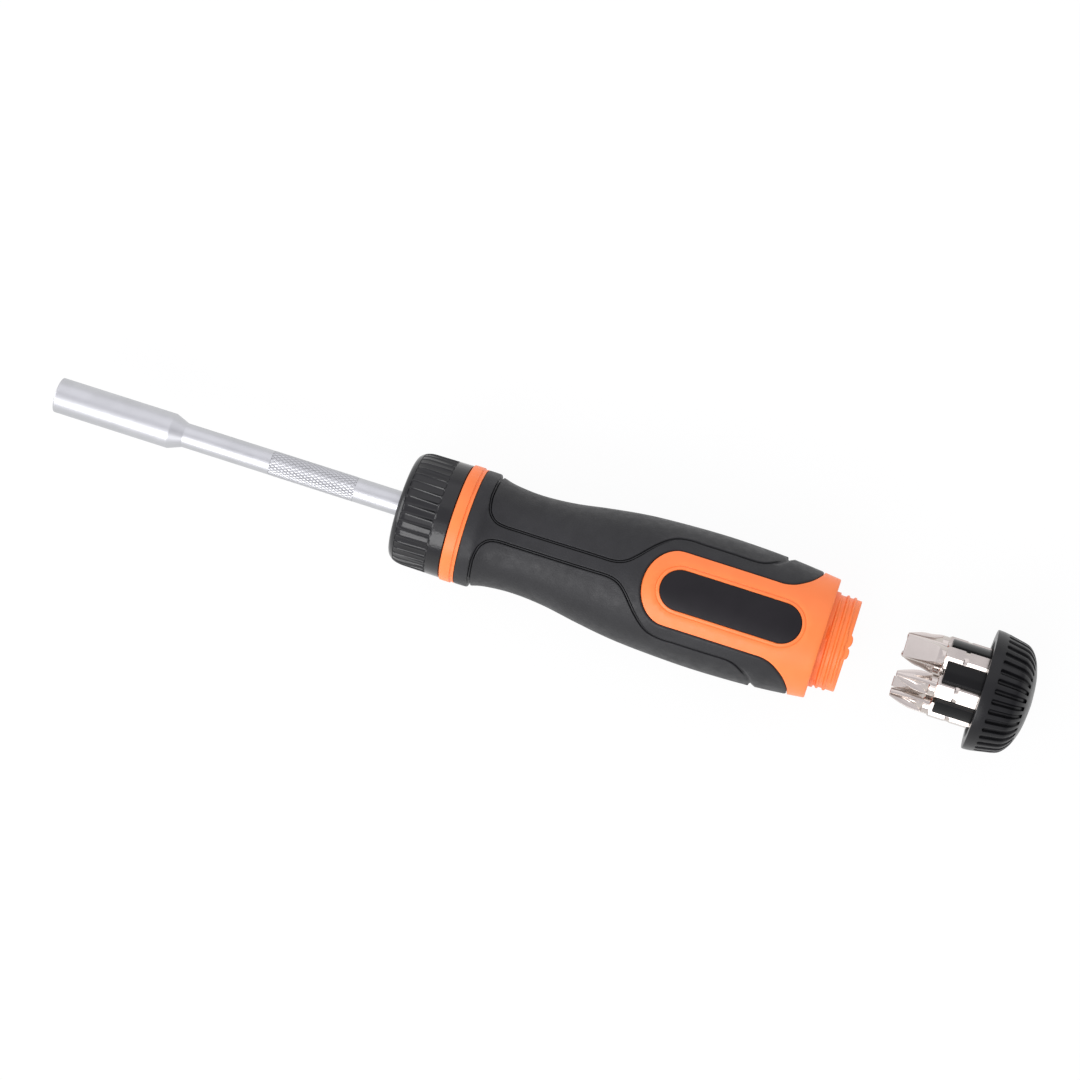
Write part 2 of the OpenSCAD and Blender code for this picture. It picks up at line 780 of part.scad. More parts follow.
module cam_pocket(side) {
    outline = cam_outline(side);
    inner = [for (i = [len(outline) - 1 : -1 : 0]) outline[i] * (housing_r - cut) / norm(outline[i])];
    linear_extrude(gear_len + 2 * gear_gap + 2 * small_edge) polygon(concat(outline, inner));
}

module collar_blank() {
    turned(concat(
        [[collar_x, 0]],
        [for (i = [0 : panel_round_steps]) let (a = 90 * i / panel_round_steps) [
            collar_x + collar_round_len * (1 - cos(a)),
            collar_r - mix(collar_face_drop, collar_front_drop, sin(a))
        ]],
        [[collar_end - small_edge, collar_r], [collar_end, collar_r - small_edge], [collar_end, 0]]
    ));
}

module selector_collar() {
    scoop_half = PI * collar_r / scoop_count * 2 * scoop_share;
    scoop_r = (scoop_half * scoop_half + scoop_depth * scoop_depth) / (2 * scoop_depth);
    color([0.14, 0.14, 0.15]) difference() {
        collar_blank();
        rod(collar_x - cut, shank_r + collar_hole_gap, collar_web + 2 * cut);
        rod(collar_x + collar_web, collar_bore_r, collar_len);
        for (i = [0 : scoop_count - 1])
            along_x(collar_x + scoop_front) rotate([0, 0, i * 360 / scoop_count])
                translate([collar_r + scoop_r - scoop_depth, 0, 0])
                    cylinder(r = scoop_r, h = collar_len - scoop_front - scoop_rear_band, $fn = small_fn);
        for (left = [true, false])
            along_x(gear_x - gear_gap - small_edge) ratchet_side(left) cam_pocket(left ? 1 : -1);
        for (turn = [-selector_turn, 0, selector_turn])
            along_x(gear_x + (gear_len - detent_len) / 2 - detent_side_gap)
                rotate([0, 0, detent_angle + turn]) translate([housing_r * notch_place_share, 0, 0])
                    cylinder(r = housing_r * notch_r_share, h = detent_len + 2 * detent_side_gap,
                        $fn = small_fn);
        selector_ring_groove();
    }
}

module pawl(left) {
    color([0.6, 0.61, 0.63]) along_x(gear_x + fit_gap) ratchet_side(left) difference() {
        linear_extrude(gear_len - fit_gap) {
            share_polygon(pawl_shares);
            translate(housing_r * pivot_shares) circle(r = housing_r * boss_share, $fn = small_fn);
            translate(housing_r * tail_shares) circle(r = housing_r * tail_r_share, $fn = small_fn);
        }
        translate([housing_r * pivot_shares[0], housing_r * pivot_shares[1], -cut])
            cylinder(r = housing_r * pin_share + running_gap, h = gear_len + 2 * cut, $fn = small_fn);
    }
}

module pawl_left() {
    pawl(true);
}

module pawl_right() {
    pawl(false);
}

// Places what belongs to one bit at its angle round the rack
module at_bit(index) {
    rotate([first_bit_angle + index * 360 / bits_in_rack, 0, 0]) translate([0, bit_ring_r, 0]) children();
}

module bit_rack() {
    color([0.12, 0.12, 0.13]) difference() {
        turned([
            [rack_x, 0], [rack_x, rack_r - rack_finger_edge], [rack_x + rack_finger_edge, rack_r],
            [rack_end, rack_r], [rack_end, 0]
        ]);
        for (i = [0 : bits_in_rack - 1]) at_bit(i)
            hex_rod(rack_x - cut, bit_flats + pocket_clearance, pocket_floor - rack_x + cut);
        rod(rack_x - cut, screw_shoulder_r + running_gap, rack_end - rack_x + 2 * cut);
        rod(rack_x - cut, screw_head_r + fit_gap, screw_head_sink + screw_head_len + running_gap + cut);
    }
}

module cap() {
    color([0.13, 0.13, 0.14]) difference() {
        union() {
            difference() {
                turned(concat([[rim_x, 0]], cap_outline(0)));
                turned(concat(
                    [[rim_x - cut, 0], [rim_x - cut, cap_bore_r]],
                    [for (p = cap_hollow_shares) [rim_x + p[0] * cap_len, p[1] * cap_bore_r]]
                ));
                cap_slots();
            }
            rod(boss_x, boss_r, cap_end - boss_x - cap_len * (1 - cap_hollow_end_share) + small_edge);
            cap_thread();
        }
        rod(boss_x - cut, screw_thread_r + fit_gap, screw_thread_len + 2 * cut);
    }
}

// The slots of the cap, cut to a constant depth under its domed surface
module cap_slots() {
    slot_w = 2 * PI * cap_r / cap_slot_count * cap_slot_share;
    slot_x = rim_x + cap_len * cap_slot_front_share;
    intersection() {
        difference() {
            rod(rim_x, cap_r + cut, cap_len + cut);
            turned(concat([[rim_x - cut, 0], [rim_x - cut, cap_r - cap_slot_depth]],
                cap_outline(cap_slot_depth)));
        }
        for (i = [0 : cap_slot_count - 1]) rotate([i * 360 / cap_slot_count, 0, 0])
            translate([slot_x, -slot_w / 2, 0])
                cube([cap_len * (cap_slot_rear_share - cap_slot_front_share), slot_w, cap_r + cut]);
    }
}

// The cap's inner ridge lies midway between the turns of the neck's thread, on the same endless screw
module cap_thread() {
    middle_x = thread_first_x + thread_pitch / 2;
    start = (rim_x + cap_thread_front - middle_x) / thread_pitch * 360;
    screw_ridge(middle_x, start, start + cap_thread_turns * 360,
        cap_bore_r + thread_sink, cap_bore_r - thread_h);
}

module rack_screw() {
    head_x = rack_x + screw_head_sink;
    color([0.72, 0.73, 0.75]) difference() {
        turned([
            [head_x, 0], [head_x, screw_head_r - small_edge], [head_x + small_edge, screw_head_r],
            [head_x + screw_head_len, screw_head_r], [head_x + screw_head_len, screw_shoulder_r],
            [boss_x - fit_gap, screw_shoulder_r], [boss_x - fit_gap, screw_thread_r],
            [boss_x + screw_thread_len, screw_thread_r], [boss_x + screw_thread_len, 0]
        ]);
        for (turn = [0, 90]) rotate([turn, 0, 0])
            translate([head_x - cut, -screw_recess_w / 2, -screw_recess_len / 2])
                cube([screw_recess_depth + cut, screw_recess_w, screw_recess_len]);
    }
}

// The hexagonal rear of a bit, with chamfered ends and a snap notch across its corners
module bit_shank() {
    corner_r = bit_flats / 2 / cos(half_flat_angle);
    notch = bit_end - bit_notch_from_rear;
    intersection() {
        hex_rod(bit_x + hex_start, bit_flats, bit_len - hex_start);
        turned([
            [bit_x + hex_start, 0], [bit_x + hex_start, corner_r - bit_chamfer],
            [bit_x + hex_start + bit_chamfer, corner_r],
            [notch - bit_notch_half, corner_r], [notch, corner_r - bit_notch_depth],
            [notch + bit_notch_half, corner_r],
            [bit_end - bit_chamfer, corner_r], [bit_end, corner_r - bit_chamfer], [bit_end, 0]
        ]);
    }
}

// A flat blade: two ground faces on a turned body, square to two of the shank's corners
module slotted_bit(blade_w, blade_t) {
    color([0.8, 0.79, 0.77]) {
        bit_shank();
        intersection() {
            turned([
                [bit_x, 0], [bit_x, blade_w / 2], [bit_x + blade_root, blade_w / 2],
                [bit_x + hex_start - bit_chamfer, bit_neck_r],
                [bit_x + hex_start + small_edge, bit_neck_r], [bit_x + hex_start + small_edge, 0]
            ]);
            rotate([half_flat_angle - 90, 0, 0]) rotate([90, 0, 0]) translate([0, 0, -bit_flats])
                linear_extrude(2 * bit_flats) polygon([
                    [bit_x, -blade_t / 2], [bit_x + blade_root, -blade_root_t / 2],
                    [bit_x + hex_start + cut, -bit_flats / 2], [bit_x + hex_start + cut, bit_flats / 2],
                    [bit_x + blade_root, blade_root_t / 2], [bit_x, blade_t / 2]
                ]);
        }
    }
}

// A cross point: a blunt cone with four tapering flutes between its wings, two of them in line with
// corners of the shank
module cross_bit(index, tip_r, point_r, core_r, ribbed) {
    cone_len = (point_r - tip_r) / tan(cross_cone);
    tilt = atan((point_r - core_r) / cross_root);
    flute_turn = half_flat_angle + 45 - index * 360 / bits_in_rack;
    color([0.8, 0.79, 0.77]) at_bit(index) {
        bit_shank();
        difference() {
            turned([
                [bit_x, 0], [bit_x, tip_r], [bit_x + cone_len, point_r],
                [bit_x + hex_start - bit_chamfer, point_r], [bit_x + hex_start + small_edge, bit_neck_r],
                [bit_x + hex_start + small_edge, 0]
            ]);
            for (i = [0 : 3]) along_x(bit_x) rotate([0, 0, flute_turn + 90 * i]) translate([core_r, 0, 0])
                rotate([0, tilt, 0]) rotate([0, 0, -45]) translate([0, 0, -cut])
                    cube([bit_flats, bit_flats, cross_root + 2 * cut]);
        }
        if (ribbed) for (i = [0, 1]) along_x(bit_x + front_chamfer) rotate([0, 0, flute_turn + 90 * i])
            translate([-tip_r, -rib_w / 2, 0]) cube([2 * tip_r, rib_w, cone_len]);
    }
}

module bit_slotted_wide() {
    at_bit(0) slotted_bit(wide_blade_w, wide_blade_t);
}

module bit_cross_large() {
    cross_bit(1, large_cross_tip_r, large_cross_r, large_cross_core_r, false);
}

module bit_ribbed_cross_large() {
    cross_bit(2, large_ribbed_tip_r, large_cross_r, large_ribbed_core_r, true);
}

module bit_slotted_narrow() {
    at_bit(3) slotted_bit(narrow_blade_w, narrow_blade_t);
}

module bit_cross_small() {
    cross_bit(4, small_cross_tip_r, small_cross_r, small_cross_core_r, false);
}

module bit_ribbed_cross_small() {
    cross_bit(5, small_ribbed_tip_r, small_cross_r, small_ribbed_core_r, true);
}

handle_core();
grip_overmould();
badge_plate_top();
badge_plate_bottom();
ratchet_housing();
front_bearing_plate();
housing_snap_ring();
rear_bush();
thrust_washer();
pawl_pins();
pawl_spring_left();
pawl_spring_right();
detent_spring();
selector_snap_ring();
shaft();
ratchet_gear();
shaft_circlip();
bit_magnet();
selector_collar();
pawl_left();
pawl_right();
bit_rack();
cap();
rack_screw();
bit_slotted_wide();
bit_cross_large();
bit_ribbed_cross_large();
bit_slotted_narrow();
bit_cross_small();
bit_ribbed_cross_small();
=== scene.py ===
# Looks of the ratcheting screwdriver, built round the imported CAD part.
# Shapes are worked out in millimetres and become metres when a mesh is made. The tool's axis is X, from the
# bit socket at zero to the cap, and angles round it run from +Y (0 degrees) to +Z (90 degrees, the badge).
import math

import bmesh
import bpy
import numpy as np
from mathutils import Matrix, Vector
from mathutils.geometry import delaunay_2d_cdt


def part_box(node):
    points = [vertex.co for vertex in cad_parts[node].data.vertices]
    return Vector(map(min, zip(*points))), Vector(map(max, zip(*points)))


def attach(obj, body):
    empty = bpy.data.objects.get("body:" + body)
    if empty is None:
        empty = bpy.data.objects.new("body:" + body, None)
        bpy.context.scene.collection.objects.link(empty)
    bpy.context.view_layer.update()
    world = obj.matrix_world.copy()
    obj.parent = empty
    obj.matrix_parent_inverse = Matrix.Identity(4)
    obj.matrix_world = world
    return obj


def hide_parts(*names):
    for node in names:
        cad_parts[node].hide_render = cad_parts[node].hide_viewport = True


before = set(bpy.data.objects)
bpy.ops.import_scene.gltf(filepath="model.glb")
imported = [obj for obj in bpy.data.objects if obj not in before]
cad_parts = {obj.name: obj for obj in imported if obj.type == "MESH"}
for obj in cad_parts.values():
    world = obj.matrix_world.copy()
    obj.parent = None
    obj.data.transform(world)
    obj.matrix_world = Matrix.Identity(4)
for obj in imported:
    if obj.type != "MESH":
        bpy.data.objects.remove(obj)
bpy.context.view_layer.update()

MM = 0.001


def reach(node):
    """Lowest and highest place of a CAD node along the tool's axis."""
    low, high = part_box(node)
    return low.x / MM, high.x / MM


# Places along the axis, read from the frame
collar_x, collar_end = reach("selector_collar")
ring_x = reach("handle_core")[0]
band_front_x = reach("grip_overmould")[0]
shaft_end = reach("shaft")[1]
gear_x = reach("ratchet_gear")[0]
rack_x, rack_end = reach("bit_rack")
cap_rim_x, cap_end = reach("cap")
bit_x, bit_end = reach("bit_slotted_wide")

# Radii and lengths that the CAD part shares
barrel_r, barrel_len, taper_len, shank_r, journal_r = 5.05, 34.1, 4.0, 3.5, 3.0
knurl_x, knurl_len = 64.0, 25.1
knurl_end = knurl_x + knurl_len
socket_flats, socket_depth = 6.45, 13.0
collar_r, collar_bore_r, collar_web = 16.36, 12.08, 2.2
ring_r, ring_len, band_r, band_len, groove_w = 16.75, 4.2, 16.5, 4.0, 0.7
grip_x = ring_x + ring_len + band_len + groove_w
grip_len, neck_len = 97.8, 7.3
rear_x = grip_x + grip_len
neck_end = rear_x + neck_len
front_r, waist_r, belly_r = 15.8, 14.29, 19.13
grip_wall = 2.4
store_r, store_x = 12.0, neck_end - 33.0
neck_r, thread_h, thread_pitch, thread_lead = 13.1, 0.5, 2.0, 1.3
cap_bore_r, cap_r = 13.85, 17.12
badge_w, badge_len, badge_sink = 11.6, 40.1, 0.15
badge_x = grip_x + 0.5256 * grip_len
rack_r, bit_ring_r, bit_flats = 11.15, 8.2, 6.35
first_bit_angle = 53
fit_gap = 0.04


# Curves and profiles

def cos_of(degrees):
    return math.cos(math.radians(degrees))


def sin_of(degrees):
    return math.sin(math.radians(degrees))


def round_angles(columns):
    return np.arange(columns) * 360 / columns


def smooth(points, steps):
    """A Catmull-Rom curve through the points."""
    p = np.asarray(points, float)
    p = np.vstack([p[0], p, p[-1]])
    t = np.linspace(0, 1, steps, endpoint=False)[:, None]
    runs = [
        0.5 * (2 * b + (c - a) * t + (2 * a - 5 * b + 4 * c - d) * t * t + (3 * b - a - 3 * c + d) * t ** 3)
        for a, b, c, d in zip(p, p[1:], p[2:], p[3:])
    ]
    return np.vstack(runs + [p[-1:]])


def fillet(points, radius, steps=3):
    """The path with each corner rounded, as far as its neighbours leave room."""
    p = np.asarray(points, float)
    out = [p[0]]
    for a, b, c in zip(p, p[1:], p[2:]):
        u, v = a - b, c - b
        lu, lv = np.linalg.norm(u), np.linalg.norm(v)
        if min(lu, lv) < 1e-9:
            continue
        u, v = u / lu, v / lv
        corner = math.acos(max(-1, min(1, float(u @ v))))
        if corner > math.radians(172):
            out.append(b)
            continue
        back = min(radius / math.tan(corner / 2), 0.45 * lu, 0.45 * lv)
        for t in np.linspace(0, 1, steps + 1):
            out.append((1 - t) ** 2 * (b + u * back) + 2 * t * (1 - t) * b + t * t * (b + v * back))
    return np.array(out + [p[-1]])


def split_long(points, spacing, measure=np.linalg.norm):
    """Adds points where two neighbours lie further apart than the spacing."""
    out = []
    for a, b in zip(points, points[1:]):
        steps = max(1, round(measure(b - a) / spacing))
        out += [a + (b - a) * k / steps for k in range(steps)]
    return out + [points[-1]]


def on_axis(x, angle, r):
    """Points at places along the axis, angles in degrees and radii."""
    x, angle, r = np.broadcast_arrays(x, np.radians(angle), r)
    return np.stack([x, r * np.cos(angle), r * np.sin(angle)], axis=-1).reshape(-1, 3)


def bump(t):
    """Rises smoothly from 0 to 1."""
    t = np.clip(t, 0, 1)
    return t * t * (3 - 2 * t)


# Meshes

class Shape:
    """Points in millimetres and faces, gathered from several parts."""

    def __init__(self):
        self.points, self.faces, self.count = [], [], 0

    def add(self, points, faces):
        self.points.append(np.asarray(points, float).reshape(-1, 3))
        self.faces += [tuple(i + self.count for i in f) for f in faces]
        self.count += len(self.points[-1])
        return self

    def grid(self, rows, split=None):
        """Rows of points round the axis, each joined to the next. split picks each cell's diagonal."""
        rows = np.asarray(rows, float)
        n, m = rows.shape[:2]
        faces = []
        for i, j in np.ndindex(n - 1, m):
            a, b = i * m + j, i * m + (j + 1) % m
            c, d = b + m, a + m
            if split is None or split[i][j] == 0:
                faces.append((a, b, c, d))
            elif split[i][j] > 0:
                faces += [(a, b, c), (a, c, d)]
            else:
                faces += [(a, b, d), (b, c, d)]
        return self.add(rows, faces)

    def lathe(self, profile, columns):
        """A turned form from points [place along the axis, radius]."""
        return self.grid([on_axis(x, round_angles(columns), r) for x, r in profile])


merge_distance, least_edge = 0.0015, 0.0005


def add_object(name, data):
    thing = bpy.data.objects.new(name, data)
    bpy.context.scene.collection.objects.link(thing)
    return thing


def aim(thing, place, *axes):
    """Puts a lamp or the camera in place, by its right, upward and backward directions."""
    thing.matrix_world = Matrix.Translation(place) @ Matrix(axes).transposed().to_4x4()


def make_piece(name, shape, body, slot, node, sharp=50):
    """Turns a shape into an object that rides on a body in a CAD node's place, with its slot's look."""
    mesh = bpy.data.meshes.new(name)
    mesh.from_pydata((np.vstack(shape.points) * MM).tolist(), [], shape.faces)
    bm = bmesh.new()
    bm.from_mesh(mesh)
    bmesh.ops.remove_doubles(bm, verts=bm.verts, dist=merge_distance * MM)
    bmesh.ops.dissolve_degenerate(bm, edges=bm.edges, dist=least_edge * MM)
    bmesh.ops.recalc_face_normals(bm, faces=bm.faces)
    bm.to_mesh(mesh)
    bm.free()
    mesh.shade_smooth()
    mesh.set_sharp_from_angle(angle=math.radians(sharp))
    mesh.materials.append(looks[slot])
    piece = add_object(name, mesh)
    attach(piece, body)
    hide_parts(node)


# Materials

noise_low, noise_high = 0.3, 0.7


def fill(tree, node, inputs):
    """Gives a node's inputs values, or links from other nodes' outputs."""
    for key, value in inputs.items():
        if isinstance(value, bpy.types.NodeSocket):
            tree.links.new(value, node.inputs[key])
        else:
            node.inputs[key].default_value = value


def add_node(tree, kind, inputs, operation=None):
    node = tree.nodes.new("ShaderNode" + kind)
    if operation:
        node.operation = operation
    fill(tree, node, inputs)
    return node


def plain_material(name, color, roughness, metallic=0.0, specular=0.5):
    material = bpy.data.materials.new(name)
    material.use_nodes = True
    tree = material.node_tree
    shader = tree.nodes["Principled BSDF"]
    fill(tree, shader, {"Base Color": (*color, 1), "Roughness": roughness, "Metallic": metallic,
                        "Specular IOR Level": specular})
    return material, tree, shader


def noise(tree, scale, detail, stretch=(1, 1, 1)):
    """A noise texture fixed to the object, its scale in features per metre."""
    place = add_node(tree, "TexCoord", {}).outputs["Object"]
    stretched = add_node(tree, "Mapping", {"Vector": place, "Scale": stretch}).outputs["Vector"]
    return add_node(tree, "TexNoise", {"Vector": stretched, "Scale": scale, "Detail": detail}).outputs["Fac"]


def spread(tree, value, low, high, from_low=noise_low, from_high=noise_high):
    return add_node(tree, "MapRange", {"Value": value, "From Min": from_low, "From Max": from_high,
                                       "To Min": low, "To Max": high}).outputs["Result"]


def add_ramp(tree, value, steps):
    """A colour ramp over a value, from pairs of place and colour."""
    ramp = add_node(tree, "ValToRGB", {"Fac": value})
    elements = ramp.color_ramp.elements
    while len(elements) < len(steps):
        elements.new(0.5)
    for element, (place, color) in zip(elements, steps):
        element.position = place
        element.color = (*color, 1)
    return ramp.outputs["Color"]


def vary(tree, shader, tint, gloss, colors, rough, bumps):
    """Two noises vary colour and roughness, each between a pair. Bumps are noises with heights in metres."""
    layer = {"Strength": 1}
    for value, height in bumps:
        node = add_node(tree, "Bump", {**layer, "Distance": height, "Height": value})
        layer["Normal"] = node.outputs["Normal"]
    color = add_ramp(tree, tint, list(zip((noise_low, noise_high), colors)))
    fill(tree, shader, {"Base Color": color, "Roughness": spread(tree, gloss, *rough),
                        "Normal": layer["Normal"]})


def paint_shade_below(tree, low_r, high_r, share):
    """Paints shade into the base colour of what lies nearer to the axis, such as the grooves of a knurl."""
    color = tree.nodes["Principled BSDF"].inputs["Base Color"]
    place = add_node(tree, "TexCoord", {}).outputs["Object"]
    split = add_node(tree, "SeparateXYZ", {"Vector": place}).outputs
    across = add_node(tree, "CombineXYZ", {"Y": split["Y"], "Z": split["Z"]}).outputs["Vector"]
    radius = add_node(tree, "VectorMath", {0: across}, "LENGTH").outputs["Value"]
    brightness = spread(tree, radius, share, 1, low_r * MM, high_r * MM)
    scale = add_node(tree, "VectorMath", {0: color.links[0].from_socket, "Scale": brightness}, "SCALE")
    tree.links.new(scale.outputs["Vector"], color)


# Features per metre: colour, gloss and two grains of plastic, then marks, polish and colour of metal
mottle_scale, gloss_scale, grain_scale, swell_scale = 130, 420, 2000, 90
mark_scale, polish_scale, tint_scale = 900, 300, 160
swell_share, tint_share = 2.5, 0.93


def plastic(name, color, other, rough, grain_height, specular):
    """Moulded plastic or rubber: a fine spark-eroded grain, soft mottling and slightly uneven gloss."""
    material, tree, shader = plain_material(name, color, rough[0], specular=specular)
    vary(tree, shader, noise(tree, mottle_scale, 3), noise(tree, gloss_scale, 4), (color, other), rough,
         [(noise(tree, grain_scale, 2), grain_height),
          (noise(tree, swell_scale, 2), grain_height * swell_share)])
    return material


def metal(name, color, rough, stretch, mark_height):
    """Plated or machined steel: faint lengthwise or round marks and uneven polish."""
    material, tree, shader = plain_material(name, color, rough[0], metallic=1.0)
    vary(tree, shader, noise(tree, tint_scale, 2), noise(tree, polish_scale, 3),
         (color, tuple(tint_share * c for c in color)), rough,
         [(noise(tree, mark_scale, 4, stretch), mark_height)])
    return material


# Each plastic has two colours, a range of roughness, the grain's height in metres and the gloss's strength
looks = {name: plastic(name, *values) for name, values in {
    "bright_plastic": ((0.93, 0.216, 0.05), (0.91, 0.197, 0.043), (0.36, 0.46), 0.00001, 0.45),
    "soft_grip": ((0.012, 0.012, 0.0135), (0.017, 0.017, 0.019), (0.42, 0.56), 0.00006, 0.36),
    "badge_plastic": ((0.007, 0.006, 0.008), (0.01, 0.0085, 0.011), (0.4, 0.5), 0.000012, 0.22),
    "collar_plastic": ((0.006, 0.006, 0.007), (0.009, 0.009, 0.0105), (0.14, 0.22), 0.00003, 0.43),
    "cap_plastic": ((0.005, 0.005, 0.006), (0.007, 0.007, 0.008), (0.26, 0.36), 0.000012, 0.32),
    "rack_plastic": ((0.003, 0.003, 0.0035), (0.004, 0.004, 0.0045), (0.16, 0.24), 0.000006, 0.2),
}.items()}

# Each metal has a colour, a range of roughness, its marks' direction and their height in metres
round_marks, length_marks, no_direction = (4, 0.12, 0.12), (0.1, 2, 2), (1, 1, 1)
looks |= {name: metal(name, *values) for name, values in {
    "satin_chrome": ((0.565, 0.57, 0.59), (0.37, 0.44), round_marks, 0.0000012),
    "bit_steel": ((0.6, 0.545, 0.51), (0.14, 0.24), no_direction, 0.000004),
    "machined_steel": ((0.5, 0.5, 0.52), (0.28, 0.4), round_marks, 0.000003),
    "spring_steel": ((0.28, 0.29, 0.31), (0.3, 0.42), no_direction, 0.000002),
    "bearing_bronze": ((0.6, 0.42, 0.22), (0.42, 0.55), no_direction, 0.000006),
    "magnet": ((0.45, 0.45, 0.47), (0.3, 0.4), length_marks, 0.000002),
}.items()}
knurl_top_r, knurl_root_r = shank_r + 0.05, shank_r - 0.1
# Painted shade: the chrome darkens in the knurl's grooves and everywhere inside the shank's radius, such as
# the socket and the rear journal
paint_shade_below(looks["satin_chrome"].node_tree, knurl_root_r, shank_r - 0.03, 0.55)


# The handle's outer form

def handle_points(shares, low, high):
    """Outline points from shares of the handle's length and of the step between two radii."""
    return [(grip_x + a * grip_len, low + (high - low) * b) for a, b in shares]


grip_curve = smooth(
    handle_points([(0, 1), (0.042, 0.353)], waist_r, front_r)
    + handle_points([(0.12, 0), (0.214, 0.13), (0.317, 0.476), (0.419, 0.764), (0.522, 0.913), (0.658, 1)],
                    waist_r, belly_r)
    + handle_points([(0.794, 0.868), (0.896, 0.538), (1, 0)], cap_r, belly_r), 12)
band_round = 0.35
band_rounding = [(0, band_round), (0.08, 0.16), (0.2, 0.05), (band_round, 0)]
band_curve = [(band_front_x + back, band_r - drop) for back, drop in band_rounding] + [
    (grip_x - ahead, band_r - drop) for ahead, drop in ((1.5, 0), (0.95, 0.1), (0.45, 0.36))]
outer_curve = np.vstack([band_curve, grip_curve])


def outer_r(x):
    return np.interp(x, *outer_curve.T)


def width_path(points):
    """Angles at which the handle's surface lies y beside the middle plane, seen from above."""
    return [(x, math.degrees(math.acos(y / float(outer_r(x))))) for x, y in points]


# Paths on one quarter of the surface, from the side (0 degrees) to the top (90 degrees): [place, angle]
pad_path = smooth(
    [(grip_x + x, angle) for x, angle in ((-0.42, 0), (-0.42, 25), (-0.42, 48), (-0.36, 56))]
    + width_path([(grip_x + x, y) for x, y in (
        (0.35, 5.6), (1.6, 3.7), (3.4, 2.55), (6, 2.2), (10, 2.2), (20, 2.2), (32, 2.2), (37, 2.22),
        (40.2, 3.1), (43, 5.4), (47.7, 10.6), (51.4, 13.3), (55.4, 14.15), (60, 14.1), (68, 14.1),
        (74.5, 14.05), (77.6, 14.75), (79.6, 15.95))])
    + [(grip_x + x, angle) for x, angle in ((81.3, 22.5), (82.3, 11), (82.5, 0))], 14)
panel_front, panel_half, panel_round = 174.2, 10.8, 8.8
panel_path = smooth(
    [(panel_front, 90)]
    + width_path([(panel_front + panel_round * (1 - cos_of(a)), panel_half * sin_of(a))
                  for a in (12, 25, 38, 52, 66, 80)])
    + width_path([(x, panel_half) for x in (183.6, 188, 195, 203, 209)])
    + [(211.8, 54), (214.9, 49.6), (218.2, 38.6), (220.1, 24), (220.6, 10), (220.65, 0)], 10)
path_step, sheet_step, badge_sheet_step = 0.6, 1.3, 1.4
at_plane, on_line = 1e-4, 1e-6
badge_r = badge_w / 2
badge_mid = (badge_x + badge_r, badge_x + badge_len - badge_r)


def surface_xy(path):
    """A path as lengths on the surface, for spacing and directions."""
    return np.stack([path[:, 0], np.radians(path[:, 1]) * outer_r(path[:, 0])], axis=1)


def space_out(path, flat):
    """A path with points an even distance apart, as measured on the same path laid flat."""
    along = np.concatenate([[0], np.cumsum(np.linalg.norm(np.diff(flat, axis=0), axis=1))])
    at = np.linspace(0, along[-1], max(2, round(along[-1] / path_step) + 1))
    return np.stack([np.interp(at, along, path[:, k]) for k in (0, 1)], axis=1)


def beside(path, distance):
    """The path moved sideways on the surface, to its left where distance is positive."""
    flat = surface_xy(path)
    step = np.gradient(flat, axis=0)
    step /= np.linalg.norm(step, axis=1)[:, None]
    r = outer_r(path[:, 0])
    moved = np.stack([path[:, 0] - step[:, 1] * distance,
                      path[:, 1] + np.degrees(step[:, 0] * distance / r)], axis=1)
    for end in (0, -1):
        for limit in (0, 90):
            if abs(path[end, 1] - limit) < on_line:
                moved[end] = (moved[end, 0], limit)
    return moved


def distance_to(path, x, angle):
    """Distance on the surface from each place to the path."""
    r = outer_r(x)
    ends = np.stack(np.broadcast_arrays(path[:, 0], np.radians(path[:, 1]) * r[:, None]), axis=-1)
    q = np.stack([x, np.radians(angle) * r], axis=-1)[:, None]
    a, ab = ends[:, :-1], np.diff(ends, axis=1)
    t = np.clip(((q - a) * ab).sum(-1) / (ab * ab).sum(-1), 0, 1)
    return np.linalg.norm(a + ab * t[..., None] - q, axis=-1).min(axis=1)


def in_panel(x, angle):
    return (angle > np.interp(x, *panel_path.T, left=91)) | (x > panel_path[-1, 0])


def badge_distance(x, angle):
    """Distance to the badge's outline, negative inside it."""
    side = (90 - np.abs(angle)) * math.pi / 180 * outer_r(x)
    off = np.maximum(np.maximum(badge_mid[0] - x, x - badge_mid[1]), 0)
    return np.hypot(off, side) - badge_r


def badge_row(distance):
    """The badge's outline moved outwards, on one quarter of the surface."""
    r = badge_r + distance
    half_turn = np.radians(np.linspace(0, 90, 16))
    front = np.stack([badge_mid[0] - r * np.cos(half_turn), r * np.sin(half_turn)], axis=1)
    back = np.stack([badge_mid[1] + r * np.sin(half_turn), r * np.cos(half_turn)], axis=1)
    flat = np.vstack([front, back])
    flat = space_out(flat, flat)
    row = np.stack([flat[:, 0], 90 - np.degrees(flat[:, 1] / outer_r(flat[:, 0]))], axis=1)
    row[0, 1] = row[-1, 1] = 90
    return row


quarter_columns, sheet_r, row_share, clear_share = 48, 17.0, 0.87, 0.62


